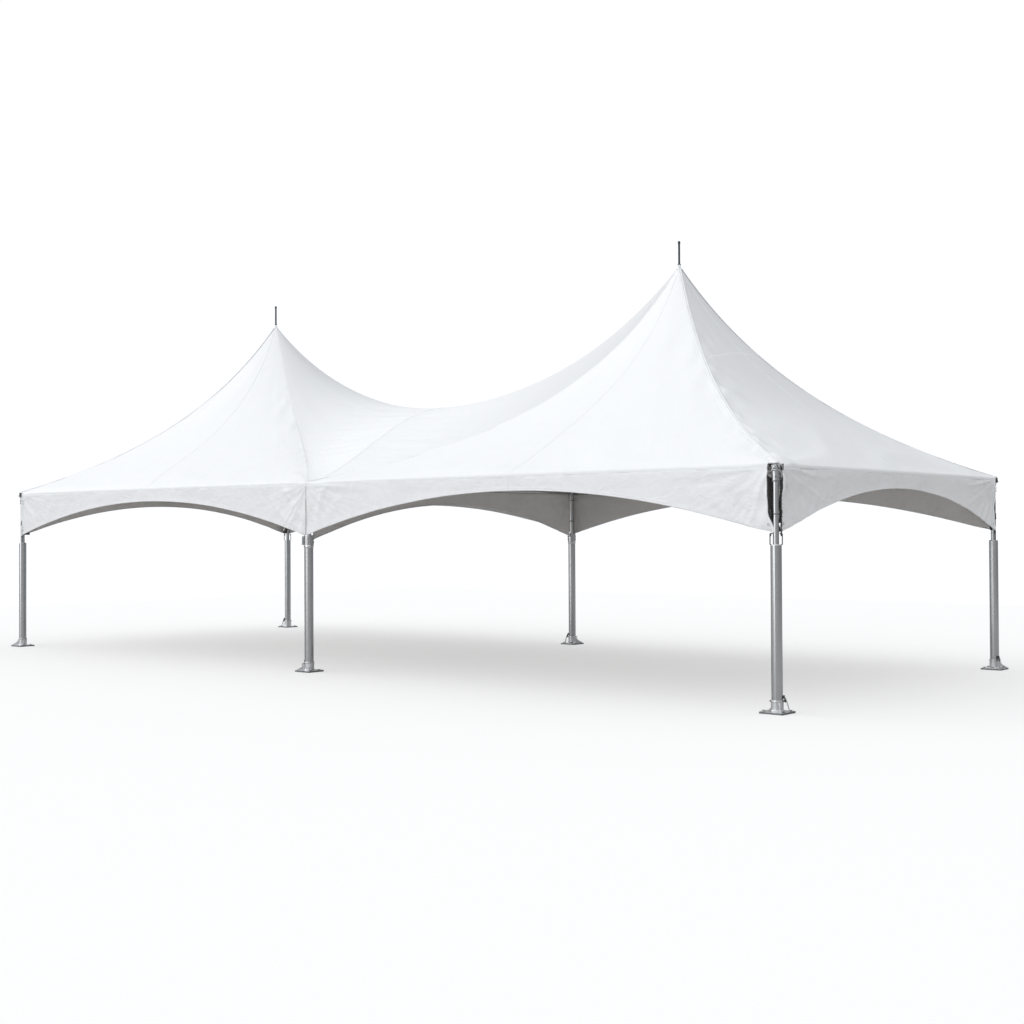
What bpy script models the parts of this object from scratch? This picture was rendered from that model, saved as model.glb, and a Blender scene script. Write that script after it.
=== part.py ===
"""A two-peak frame marquee: two square-ended bays under one tensioned roof, on six legs.

Metres, +Z up. The origin is on the ground at the middle of the plan, +X runs along the
tent and -Y is its front. Every sub-part is its own object.
"""

import math

import bmesh
import bpy
from mathutils import Matrix, Vector

# Plan and heights
BAY_LENGTH = 6.40
DEPTH = 5.20
EAVE_HEIGHT = 2.30
PEAK_HEIGHT = 4.832
PEAK_OUTWARD = 0.45
PEAK_X = BAY_LENGTH / 2 + PEAK_OUTWARD
GAP = 0.0003

# Roof membrane
CLOTH_PROUD = 0.045
HALF_LENGTH = BAY_LENGTH + CLOTH_PROUD
HALF_DEPTH = DEPTH / 2 + CLOTH_PROUD
MEMBRANE_THICK = 0.010
OUTER_HIP_CURVE = 1.25
INNER_HIP_CURVE = 2.0
HIP_BOW = 0.156
HIP_BOW_WAY = (0.587, 0.810)
FACE_RISE = 0.17
SADDLE_HEIGHT = 3.36
RIDGE_CURVE = 0.65
VALLEY_POWER_AT_PEAK = 0.9
VALLEY_POWER_AT_SADDLE = 1.8
RING_SHARE = 0.0065
ROOF_ROWS = 14
ROOF_COLUMNS = 10
ROW_CROWDING = 1.4

# Valances with arched hems
VALANCE_THICK = 0.006
HEM_AT_LEG = 1.65
HEM_AT_MIDDLE = 2.12
INNER_HEM_AT_LEG = 1.58
INNER_HEM_AT_MIDDLE = 2.05
CORNER_SLIT = 0.09
INNER_SLIT = 0.066
VALANCE_COLUMNS = 20

# Legs and feet
LEG_RADIUS = 0.052
LEG_WALL = 0.003
LEG_SEGMENTS = 24
COLLAR_RADIUS = 0.0575
COLLAR_BOTTOM = 1.53
COLLAR_TOP = 1.64
COLLAR_SLOPE = 0.01
COLLAR_PLAY = 0.0008
PLATE_SIDE = 0.25
PLATE_THICK = 0.018
PLATE_CORNER = 0.012
SOCKET_RADIUS = 0.0585
SOCKET_HEIGHT = 0.118
SOCKET_PLAY = 0.0012
GUSSET_THICK = 0.008
GUSSET_REACH = 0.150
GUSSET_TOP = 0.108
GUSSET_TOE = 0.006
GUSSET_HOLLOW = (0.088, 0.060)

# Crowns: the fitting on each leg, with the inner leg tube welded to it
INNER_TUBE_RADIUS = 0.0285
INNER_TUBE_WALL = 0.003
INNER_TUBE_BOTTOM = 1.42
SLEEVE_RADIUS = 0.036
SLEEVE_BOTTOM = 2.13
SLEEVE_FLOOR = 0.01
DOME_HEIGHT = 0.012
DOME_INSET = 0.010
SPIGOT_RADIUS = 0.0245
SPIGOT_REACH = 0.19
TUBE_SEGMENTS = 20
ROD_SEGMENTS = 16

# Eave tubes
EAVE_RADIUS = 0.028
EAVE_WALL = 0.003
EAVE_AXIS_HEIGHT = 2.257
EAVE_START = 0.042

# Masts, their cables and the spikes on top
MAST_RADIUS = 0.030
MAST_BOTTOM = 2.20
MAST_TAPER = 0.10
MAST_TIP_BELOW_PEAK = 0.05
MAST_TIP_RADIUS = 0.011
HUB_RADIUS = 0.060
HUB_HEIGHT = 0.060
CABLE_RADIUS = 0.006
CABLE_SEGMENTS = 8
CABLE_END_GAP = 0.0015
CABLE_AT_CROWN = 2.215
CABLE_AT_HUB = 2.230
SPIKE_RADIUS = 0.0125
SPIKE_ABOVE_PEAK = 0.29
SPIKE_ROUNDING = 0.006
SMOOTH_BELOW_DEGREES = 35

COLUMN_X = {"left": -BAY_LENGTH, "middle": 0.0, "right": BAY_LENGTH}
ROW_Y = {"front": -DEPTH / 2, "back": DEPTH / 2}


def clear_scene():
    for thing in list(bpy.data.objects):
        bpy.data.objects.remove(thing, do_unlink=True)


def make_material(name, colour, roughness, metallic):
    material = bpy.data.materials.new(name)
    material.use_nodes = True
    shader = material.node_tree.nodes["Principled BSDF"]
    shader.inputs["Base Color"].default_value = (*colour, 1.0)
    shader.inputs["Roughness"].default_value = roughness
    shader.inputs["Metallic"].default_value = metallic
    material.diffuse_color = (*colour, 1.0)
    return material


def finish_object(name, bm, material, smooth=False):
    """Turns a bmesh into a named object with its own copy of the material."""
    bmesh.ops.recalc_face_normals(bm, faces=bm.faces)
    mesh = bpy.data.meshes.new(name)
    bm.to_mesh(mesh)
    bm.free()
    if smooth:
        mesh.shade_smooth()
        mesh.set_sharp_from_angle(angle=math.radians(SMOOTH_BELOW_DEGREES))
    own = material.copy()
    own.name = name + "_finish"
    mesh.materials.append(own)
    thing = bpy.data.objects.new(name, mesh)
    bpy.context.scene.collection.objects.link(thing)
    return thing


def turned_profile(profile, segments):
    """A closed ring of (radius, height) points spun round Z; a radius of 0 closes on the axis."""
    bm = bmesh.new()
    rings = []
    for radius, height in profile:
        if radius == 0:
            rings.append([bm.verts.new((0, 0, height))])
            continue
        angles = [2 * math.pi * k / segments for k in range(segments)]
        rings.append([bm.verts.new((radius * math.cos(a), radius * math.sin(a), height)) for a in angles])
    open_profile = profile[0][0] == 0
    pairs = list(zip(rings, rings[1:]))
    if not open_profile:
        pairs.append((rings[-1], rings[0]))
    for low, high in pairs:
        for k in range(segments):
            after = (k + 1) % segments
            corners = [low[k % len(low)], low[after % len(low)], high[after % len(high)], high[k % len(high)]]
            kept = [v for i, v in enumerate(corners) if v not in corners[:i]]
            bm.faces.new(kept)
    return bm


def tube_profile(outer, inner, bottom, top):
    return [(outer, bottom), (outer, top), (inner, top), (inner, bottom)]


def rod_profile(radius, bottom, top):
    return [(0, bottom), (radius, bottom), (radius, top), (0, top)]


def aim(bm, start, end):
    """Moves a shape that was made along Z from 0 so that it runs from start towards end."""
    direction = Vector(end) - Vector(start)
    turn = direction.to_track_quat("Z", "Y").to_matrix().to_4x4()
    bmesh.ops.transform(bm, matrix=Matrix.Translation(start) @ turn, verts=bm.verts)


def join_with(base, others):
    """Fuses hidden helper solids into the base object with Boolean unions."""
    for other in others:
        other.hide_render = True
        other.display_type = "WIRE"
        union = base.modifiers.new("join_" + other.name, "BOOLEAN")
        union.operation = "UNION"
        union.solver = "EXACT"
        union.object = other


def make_foot(name, x, y, material):
    """A square base plate with an open socket and a sloping gusset to each outer corner."""
    bm = bmesh.new()
    bmesh.ops.create_cube(bm, size=1.0)
    bmesh.ops.scale(bm, vec=(PLATE_SIDE, PLATE_SIDE, PLATE_THICK), verts=bm.verts)
    bmesh.ops.translate(bm, vec=(0, 0, PLATE_THICK / 2), verts=bm.verts)
    uprights = [e for e in bm.edges if abs(e.verts[0].co.z - e.verts[1].co.z) > PLATE_THICK / 2]
    bmesh.ops.bevel(bm, geom=uprights, offset=PLATE_CORNER, segments=2, affect="EDGES", profile=0.5)
    plate = finish_object(name, bm, material)

    sunk = PLATE_THICK / 2
    inner = LEG_RADIUS + SOCKET_PLAY
    socket_bm = turned_profile(tube_profile(SOCKET_RADIUS, inner, sunk, SOCKET_HEIGHT), LEG_SEGMENTS)
    socket = finish_object(name + "_socket_helper", socket_bm, material)
    helpers = [socket]
    ways = (-1, 1) if x == 0 else (math.copysign(1, x),)
    for k, way in enumerate(ways):
        angle = math.atan2(math.copysign(1, y), way)
        helpers.append(make_gusset(f"{name}_gusset_helper_{k}", angle, material))
    for helper in helpers:
        helper.location = (x, y, 0)
    plate.location = (x, y, 0)
    join_with(plate, helpers)
    return plate


def make_gusset(name, angle, material):
    """A slightly hollow fin from the socket out towards a corner of the plate."""
    start = (SOCKET_RADIUS + LEG_RADIUS + SOCKET_PLAY) / 2
    low = PLATE_THICK / 2
    toe = PLATE_THICK + GUSSET_TOE
    outline = [(start, low), (GUSSET_REACH, low), (GUSSET_REACH, toe), GUSSET_HOLLOW, (start, GUSSET_TOP)]
    bm = bmesh.new()
    face = bm.faces.new([bm.verts.new((r, -GUSSET_THICK / 2, z)) for r, z in outline])
    fresh = bmesh.ops.extrude_face_region(bm, geom=[face], use_keep_orig=True)["geom"]
    moved = [v for v in fresh if isinstance(v, bmesh.types.BMVert)]
    bmesh.ops.translate(bm, vec=(0, GUSSET_THICK, 0), verts=moved)
    bmesh.ops.rotate(bm, cent=(0, 0, 0), matrix=Matrix.Rotation(angle, 3, "Z"), verts=bm.verts)
    return finish_object(name, bm, material)


def make_leg(name, x, y, has_collar, material):
    """The outer leg tube, closed on the inner tube by an end ring or by a thick collar."""
    inner = LEG_RADIUS - LEG_WALL
    bore = INNER_TUBE_RADIUS + COLLAR_PLAY
    bottom = PLATE_THICK + GAP
    if has_collar:
        top = [
            (COLLAR_RADIUS, COLLAR_BOTTOM),
            (COLLAR_RADIUS, COLLAR_TOP),
            (bore, COLLAR_TOP),
            (bore, COLLAR_BOTTOM + COLLAR_SLOPE),
        ]
    else:
        top = [
            (LEG_RADIUS, COLLAR_BOTTOM + COLLAR_SLOPE),
            (bore, COLLAR_BOTTOM + COLLAR_SLOPE),
            (bore, COLLAR_BOTTOM),
        ]
    profile = [(LEG_RADIUS, bottom), (LEG_RADIUS, COLLAR_BOTTOM), *top]
    profile += [(inner, COLLAR_BOTTOM - COLLAR_SLOPE), (inner, bottom)]
    leg = finish_object(name, turned_profile(profile, LEG_SEGMENTS), material, smooth=True)
    leg.location = (x, y, 0)
    return leg


def make_crown(name, x, y, directions, material):
    """A sleeve on the inner leg tube, with a solid spigot for each eave tube that meets it."""
    top = EAVE_AXIS_HEIGHT + EAVE_RADIUS
    bore = INNER_TUBE_RADIUS - INNER_TUBE_WALL
    profile = [
        (0, SLEEVE_BOTTOM),
        (bore, SLEEVE_BOTTOM - SLEEVE_FLOOR),
        (bore, INNER_TUBE_BOTTOM),
        (INNER_TUBE_RADIUS, INNER_TUBE_BOTTOM),
        (INNER_TUBE_RADIUS, SLEEVE_BOTTOM),
        (SLEEVE_RADIUS, SLEEVE_BOTTOM),
        (SLEEVE_RADIUS, top - DOME_HEIGHT),
        (SLEEVE_RADIUS - DOME_INSET, top),
        (0, top),
    ]
    crown = finish_object(name, turned_profile(profile, LEG_SEGMENTS), material, smooth=True)
    crown.location = (x, y, 0)
    helpers = []
    for k, (dx, dy) in enumerate(directions):
        spigot_bm = turned_profile(rod_profile(SPIGOT_RADIUS, 0, SPIGOT_REACH), ROD_SEGMENTS)
        aim(spigot_bm, (0, 0, EAVE_AXIS_HEIGHT), (dx, dy, EAVE_AXIS_HEIGHT))
        spigot = finish_object(f"{name}_spigot_helper_{k}", spigot_bm, material)
        spigot.location = (x, y, 0)
        helpers.append(spigot)
    join_with(crown, helpers)
    return crown


def make_eave_tube(name, start, end, material):
    """A hollow tube between two crowns, over their spigots."""
    start, end = Vector(start), Vector(end)
    along = (end - start).normalized()
    first = start + along * EAVE_START
    length = (end - start).length - 2 * EAVE_START
    inner = EAVE_RADIUS - EAVE_WALL
    bm = turned_profile(tube_profile(EAVE_RADIUS, inner, 0, length), TUBE_SEGMENTS)
    aim(bm, first, end)
    return finish_object(name, bm, material, smooth=True)


def hip_share(s, curve):
    """How much of the rise from eave to peak is left at the share s of the way down a hip."""
    return (1 - s) / (1 + curve * s)


def ridge_share(s):
    saddle = (SADDLE_HEIGHT - EAVE_HEIGHT) / (PEAK_HEIGHT - EAVE_HEIGHT)
    return saddle + (1 - saddle) * (1 - s) ** 2 / (1 + RIDGE_CURVE * s)


def arch(t):
    """0 at both ends of a span and 1 at its middle."""
    return 4 * t * (1 - t)


def bow_at(corner, s, near):
    """How far in plan the cloth beside a hip is drawn towards the saddle; only inner hips bow."""
    if corner[0] != 0:
        return 0.0, 0.0
    reach = HIP_BOW * arch(s) * near * near
    return -reach * HIP_BOW_WAY[0], -reach * HIP_BOW_WAY[1] * math.copysign(1, corner[1])


def end_face_height(s, t):
    """A face between two outer corners, a little rounder than its hips."""
    rise = PEAK_HEIGHT - EAVE_HEIGHT
    return EAVE_HEIGHT + rise * hip_share(s, OUTER_HIP_CURVE) + FACE_RISE * arch(s) * arch(t)


def long_face_height(s, t):
    """A face from an outer corner, at t = 0, to a middle leg, at t = 1, where the hip is lower."""
    rise = PEAK_HEIGHT - EAVE_HEIGHT
    curve = OUTER_HIP_CURVE + (INNER_HIP_CURVE - OUTER_HIP_CURVE) * t
    return EAVE_HEIGHT + rise * hip_share(s, curve) + FACE_RISE * arch(s) * arch(t)


def inner_face_height(s, t):
    """The face between the peaks: hips at its edges, and the raised saddle line at its middle."""
    rise = PEAK_HEIGHT - EAVE_HEIGHT
    power = VALLEY_POWER_AT_PEAK + (VALLEY_POWER_AT_SADDLE - VALLEY_POWER_AT_PEAK) * s
    middle = arch(t) ** power
    hip = hip_share(s, INNER_HIP_CURVE)
    return EAVE_HEIGHT + rise * ((1 - middle) * hip + middle * ridge_share(s))


def add_roof_face(bm, corner_a, corner_b, height, side):
    """One fan of the roof, from the ring at a peak out to the line between two corners."""
    rows = []
    for i in range(ROOF_ROWS + 1):
        s = RING_SHARE + (1 - RING_SHARE) * (i / ROOF_ROWS) ** ROW_CROWDING
        row = []
        for j in range(ROOF_COLUMNS + 1):
            t = j / ROOF_COLUMNS
            x = PEAK_X + s * (corner_a[0] * (1 - t) + corner_b[0] * t - PEAK_X)
            y = s * (corner_a[1] * (1 - t) + corner_b[1] * t)
            for corner, near in ((corner_a, 1 - t), (corner_b, t)):
                over, across = bow_at(corner, s, near)
                x, y = x + over, y + across
            row.append(bm.verts.new((side * x, y, height(s, t))))
        rows.append(row)
    for low, high in zip(rows, rows[1:]):
        for j in range(ROOF_COLUMNS):
            bm.faces.new((low[j], low[j + 1], high[j + 1], high[j]))


def make_roof(material):
    """The whole membrane as one thin shell, open at the ring on each peak."""
    length, depth = HALF_LENGTH, HALF_DEPTH
    bm = bmesh.new()
    for side in (-1, 1):
        add_roof_face(bm, (length, -depth), (0, -depth), long_face_height, side)
        add_roof_face(bm, (length, -depth), (length, depth), end_face_height, side)
        add_roof_face(bm, (length, depth), (0, depth), long_face_height, side)
        add_roof_face(bm, (0, -depth), (0, depth), inner_face_height, side)
    bmesh.ops.remove_doubles(bm, verts=bm.verts, dist=1e-5)
    bmesh.ops.recalc_face_normals(bm, faces=bm.faces)
    fresh = bmesh.ops.extrude_face_region(bm, geom=list(bm.faces), use_keep_orig=True)["geom"]
    under = [v for v in fresh if isinstance(v, bmesh.types.BMVert)]
    bmesh.ops.translate(bm, vec=(0, 0, -MEMBRANE_THICK), verts=under)
    return finish_object("roof_membrane", bm, material, smooth=True)


def hem_height(u, at_leg, middle):
    """The arched hem, with u from -1 to 1 between the two legs."""
    return middle - (middle - at_leg) * u * u


def make_valance(name, start, end, normal, span, top, hem, material):
    """A hanging strip from start to end in plan, thickened along normal, with an arched hem.

    span holds the places of the two legs along the strip, where the arch is at its lowest.
    """
    start, end, normal = Vector(start), Vector(end), Vector(normal)
    length = (end - start).length
    along = (end - start) / length
    bm = bmesh.new()
    columns = []
    for k in range(VALANCE_COLUMNS + 1):
        place = length * k / VALANCE_COLUMNS
        u = 2 * (place - span[0]) / (span[1] - span[0]) - 1
        point = start + along * place
        low = bm.verts.new((point.x, point.y, hem_height(u, *hem)))
        high = bm.verts.new((point.x, point.y, top))
        columns.append((low, high))
    for (low_a, high_a), (low_b, high_b) in zip(columns, columns[1:]):
        bm.faces.new((low_a, low_b, high_b, high_a))
    fresh = bmesh.ops.extrude_face_region(bm, geom=list(bm.faces), use_keep_orig=True)["geom"]
    moved = [v for v in fresh if isinstance(v, bmesh.types.BMVert)]
    bmesh.ops.translate(bm, vec=normal * VALANCE_THICK, verts=moved)
    return finish_object(name, bm, material)


def make_valances(material):
    top = EAVE_HEIGHT - MEMBRANE_THICK - GAP
    length, depth = HALF_LENGTH, HALF_DEPTH
    hem = (HEM_AT_LEG, HEM_AT_MIDDLE)
    for row, side in (("front", -1), ("back", 1)):
        for column, way in (("left", -1), ("right", 1)):
            seam = (way * GAP / 2, side * depth, 0)
            corner = (way * (length - CORNER_SLIT), side * depth, 0)
            span = (-GAP / 2, BAY_LENGTH - GAP / 2)
            make_valance(f"valance_{row}_{column}", seam, corner, (0, -side, 0), span, top, hem, material)
    for column, way in (("left", -1), ("right", 1)):
        start = (way * length, -depth + CORNER_SLIT, 0)
        end = (way * length, depth - CORNER_SLIT, 0)
        first_leg = CLOTH_PROUD - CORNER_SLIT
        span = (first_leg, first_leg + DEPTH)
        make_valance(f"valance_{column}_end", start, end, (-way, 0, 0), span, top, hem, material)
    start = (-VALANCE_THICK / 2, -DEPTH / 2 + INNER_SLIT, 0)
    end = (-VALANCE_THICK / 2, DEPTH / 2 - INNER_SLIT, 0)
    span = (-INNER_SLIT, DEPTH - INNER_SLIT)
    inner_top = EAVE_AXIS_HEIGHT - EAVE_RADIUS - GAP
    hem = (INNER_HEM_AT_LEG, INNER_HEM_AT_MIDDLE)
    make_valance("valance_middle", start, end, (1, 0, 0), span, inner_top, hem, material)


def make_mast(name, x, material):
    """A mast that stands on the cables at its hub and narrows into the peak."""
    tip = PEAK_HEIGHT - MAST_TIP_BELOW_PEAK
    profile = [
        (0, MAST_BOTTOM),
        (HUB_RADIUS, MAST_BOTTOM),
        (HUB_RADIUS, MAST_BOTTOM + HUB_HEIGHT),
        (MAST_RADIUS, MAST_BOTTOM + HUB_HEIGHT),
        (MAST_RADIUS, PEAK_HEIGHT - MAST_TAPER),
        (MAST_TIP_RADIUS, tip),
        (0, tip),
    ]
    mast = finish_object(name, turned_profile(profile, TUBE_SEGMENTS), material, smooth=True)
    mast.location = (x, 0, 0)
    return mast


def make_spike(name, x, material):
    """The pin on top of a mast, which comes out through the ring in the roof."""
    bottom = PEAK_HEIGHT - MAST_TIP_BELOW_PEAK + GAP
    top = PEAK_HEIGHT + SPIKE_ABOVE_PEAK
    profile = [
        (0, bottom),
        (SPIKE_RADIUS, bottom),
        (SPIKE_RADIUS, top - SPIKE_ROUNDING),
        (SPIKE_RADIUS - SPIKE_ROUNDING, top),
        (0, top),
    ]
    spike = finish_object(name, turned_profile(profile, ROD_SEGMENTS), material, smooth=True)
    spike.location = (x, 0, 0)
    return spike


def make_cable(name, crown, hub, material):
    """A taut cable from a crown's sleeve to a mast's hub."""
    crown = Vector((*crown, CABLE_AT_CROWN))
    hub = Vector((*hub, CABLE_AT_HUB))
    along = (hub - crown).normalized()
    first = crown + along * (SLEEVE_RADIUS + CABLE_END_GAP)
    length = (hub - crown).length - SLEEVE_RADIUS - HUB_RADIUS - 2 * CABLE_END_GAP
    bm = turned_profile(rod_profile(CABLE_RADIUS, 0, length), CABLE_SEGMENTS)
    aim(bm, first, hub)
    return finish_object(name, bm, material, smooth=True)


def spigot_directions(column, row):
    inward = (0, 1) if row == "front" else (0, -1)
    along = {"left": [(1, 0)], "middle": [(-1, 0), (1, 0)], "right": [(-1, 0)]}[column]
    return along + [inward]


def make_legs(metal, cast):
    for column, x in COLUMN_X.items():
        for row, y in ROW_Y.items():
            make_foot(f"foot_{row}_{column}", x, y, cast)
            make_leg(f"leg_{row}_{column}", x, y, column == "middle", metal)
            make_crown(f"crown_{row}_{column}", x, y, spigot_directions(column, row), metal)


def make_eave_tubes(metal):
    height = EAVE_AXIS_HEIGHT
    for row, y in ROW_Y.items():
        make_eave_tube(f"eave_{row}_left", (-BAY_LENGTH, y, height), (0, y, height), metal)
        make_eave_tube(f"eave_{row}_right", (0, y, height), (BAY_LENGTH, y, height), metal)
    for label, column in (("eave_left_end", "left"), ("eave_middle", "middle"), ("eave_right_end", "right")):
        x = COLUMN_X[column]
        make_eave_tube(label, (x, ROW_Y["front"], height), (x, ROW_Y["back"], height), metal)


def make_masts(metal, dark, steel):
    for side, way in (("left", -1), ("right", 1)):
        x = way * PEAK_X
        make_mast(f"mast_{side}", x, metal)
        make_spike(f"spike_{side}", x, dark)
        for column in ("middle", side):
            for row, y in ROW_Y.items():
                place = "inner" if column == "middle" else "outer"
                make_cable(f"cable_{side}_{row}_{place}", (COLUMN_X[column], y), (x, 0), steel)


def main():
    clear_scene()
    cloth = make_material("white_membrane", (0.86, 0.87, 0.88), 0.45, 0.0)
    metal = make_material("satin_aluminium", (0.56, 0.57, 0.58), 0.35, 1.0)
    cast = make_material("cast_foot", (0.50, 0.51, 0.53), 0.45, 1.0)
    dark = make_material("dark_pin", (0.16, 0.16, 0.17), 0.4, 0.9)
    steel = make_material("cable_steel", (0.42, 0.42, 0.43), 0.4, 1.0)
    make_legs(metal, cast)
    make_eave_tubes(metal)
    make_masts(metal, dark, steel)
    make_roof(cloth)
    make_valances(cloth)


main()
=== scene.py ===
"""Cloth, fittings, finishes, light and camera for the two-peak marquee tent."""

import math
from collections import namedtuple

import bmesh
import bpy
import numpy as np
from mathutils import Matrix, Vector, noise


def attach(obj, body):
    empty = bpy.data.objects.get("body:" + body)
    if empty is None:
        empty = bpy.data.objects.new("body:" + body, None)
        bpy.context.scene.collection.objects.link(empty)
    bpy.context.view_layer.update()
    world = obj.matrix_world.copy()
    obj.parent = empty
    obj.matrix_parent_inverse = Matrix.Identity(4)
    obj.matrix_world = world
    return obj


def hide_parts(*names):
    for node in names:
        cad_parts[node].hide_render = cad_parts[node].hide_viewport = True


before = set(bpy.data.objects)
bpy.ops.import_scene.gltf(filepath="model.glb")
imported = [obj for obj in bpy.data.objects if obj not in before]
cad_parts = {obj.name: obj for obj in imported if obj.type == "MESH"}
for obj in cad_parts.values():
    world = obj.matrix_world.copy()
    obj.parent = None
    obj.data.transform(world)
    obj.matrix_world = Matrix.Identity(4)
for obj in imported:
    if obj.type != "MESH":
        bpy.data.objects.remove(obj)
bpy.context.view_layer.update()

# Plan and heights, as the frame has them
BAY_LENGTH = 6.40
DEPTH = 5.20
EAVE_HEIGHT = 2.30
PEAK_HEIGHT = 4.832
RISE = PEAK_HEIGHT - EAVE_HEIGHT
PEAK_X = 3.65
HALF_LENGTH = 6.445
HALF_DEPTH = 2.645
EAVE_REACH = 0.045
LEG_Y = DEPTH / 2
COLUMN_X = {"left": -BAY_LENGTH, "middle": 0.0, "right": BAY_LENGTH}
ROW_SIGN = {"front": -1, "back": 1}
SIDE_SIGN = {"left": -1, "right": 1}

# Roof cloth: shares run down from the peak, 0, to the eave, 1
OUTER_HIP_CURVE = 1.25
INNER_HIP_CURVE = 2.0
HIP_BOW = 0.156
HIP_BOW_WAY = (0.587, 0.810)
FACE_RISE = 0.17
SADDLE_SHARE = (3.36 - EAVE_HEIGHT) / RISE
RIDGE_CURVE = 0.65
VALLEY_POWER_AT_PEAK = 0.9
VALLEY_POWER_AT_SADDLE = 1.8
RING_SHARE = 0.0065
ROLL_SHARE = 0.9940
SEAM_RING_SHARE = 0.31
LIP_BOTTOM = 2.262
LIP_ROWS = 9
ROOF_ROWS = 92
ROOF_THICK = 0.003
CORNER_SLIT = 0.110
SLIT_ROUNDING = 0.042
BINDING_RADIUS = 0.0095

# Valances
OUTER_HEMS = (1.65, 2.12)
INNER_HEMS = (1.58, 2.05)
INNER_SLIT = 0.066
VALANCE_TOP = 2.2635
INNER_VALANCE_TOP = 2.2287
VALANCE_THICK = 0.0026
VALANCE_ROWS = 26
VALANCE_COLUMNS = 260
HEM_BAND = 0.034
ROPE_RADIUS = 0.0065
LONG_TIP_SHIFT = 0.060
END_TIP_SHIFT = 0.020

# Legs and crowns
LEG_RADIUS = 0.052
LEG_TOP = 1.54
COLLAR_RADIUS = 0.0575
COLLAR_TOP = 1.64
SLEEVE_RADIUS = 0.036
EAVE_AXIS_HEIGHT = 2.257
EAVE_RADIUS = 0.028
CUP_RADIUS = 0.074
CUP_HEIGHTS = (2.238, 2.2965)
PLATE_THICK = 0.018
SOCKET_RADIUS = 0.0585
CHAIN_STEP = 0.0186

# Stage, light and camera
FLOOR_REACH = 17.0
FLOOR_TONE = (0.537, 0.532, 0.527)
FLOOR_LIFT = 0.445
KEY_FROM = Vector((-0.85, -0.25, 0.46)).normalized()
KEY_STRENGTH = 0.43
KEY_TONE = (1.0, 0.985, 0.965)
KEY_SPREAD_DEGREES = 40
SKY_TONE = (0.955, 0.975, 1.0)
SKY_LOW = 0.90
SKY_GAIN = 0.14
SKY_LEAN = (-0.10, -0.22, 0.0)
BACKDROP_STRENGTH = 1.06
RING_DARK = 0.6
RING_TOP = 0.34
STRIP_FROM = Vector((-0.34, -0.94, 0.10)).normalized()
STRIP_STRENGTH = 2.4
STRIP_POWER = 22.0
SENSOR_WIDTH = 36.0
FOCAL_SHARE = 1418.20 / 1024
CAMERA_PLACE = (12.9650, -14.1555, 1.6857)
CAMERA_YAW, CAMERA_PITCH, CAMERA_ROLL = 40.1379, 0.7769, -0.2951


# Node trees

class Wire:
    """A node's output that can stand in a sum; each operation adds its Math node."""

    def __init__(self, graph, socket):
        self.graph = graph
        self.socket = socket

    def math(self, operation, other=0.0, clamp=False, flip=False):
        inputs = {0: other, 1: self} if flip else {0: self, 1: other}
        return self.graph.node("ShaderNodeMath", {"operation": operation, "use_clamp": clamp}, inputs)

    def __add__(self, other):
        return self.math("ADD", other)

    def __sub__(self, other):
        return self.math("SUBTRACT", other)

    def __rsub__(self, other):
        return self.math("SUBTRACT", other, flip=True)

    def __mul__(self, other):
        return self.math("MULTIPLY", other)

    def __truediv__(self, other):
        return self.math("DIVIDE", other)

    def __pow__(self, other):
        return self.math("POWER", other)

    __radd__ = __add__
    __rmul__ = __mul__

    def step(self, low, high):
        """0 below low and 1 above high, smooth between."""
        settings = {"interpolation_type": "SMOOTHSTEP"}
        return self.graph.node("ShaderNodeMapRange", settings, {0: self, 1: low, 2: high})


class Graph:
    """Adds nodes to one node tree."""

    def __init__(self, tree):
        self.tree = tree

    def node(self, kind, settings=None, inputs=None, output=0):
        made = self.tree.nodes.new(kind)
        for name, value in (settings or {}).items():
            setattr(made, name, value)
        for name, value in (inputs or {}).items():
            self.feed(made.inputs[name], value)
        return Wire(self, made.outputs[output])

    def feed(self, socket, value):
        """Sets a socket, or links the one wire or the list of wires that it takes."""
        if not isinstance(value, (Wire, list)):
            socket.default_value = value
            return
        for wire in value if isinstance(value, list) else [value]:
            self.tree.links.new(wire.socket, socket)

    def part(self, vector, axis):
        """One of a vector's three numbers."""
        return self.node("ShaderNodeSeparateXYZ", {}, {0: vector}, axis)


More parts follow.
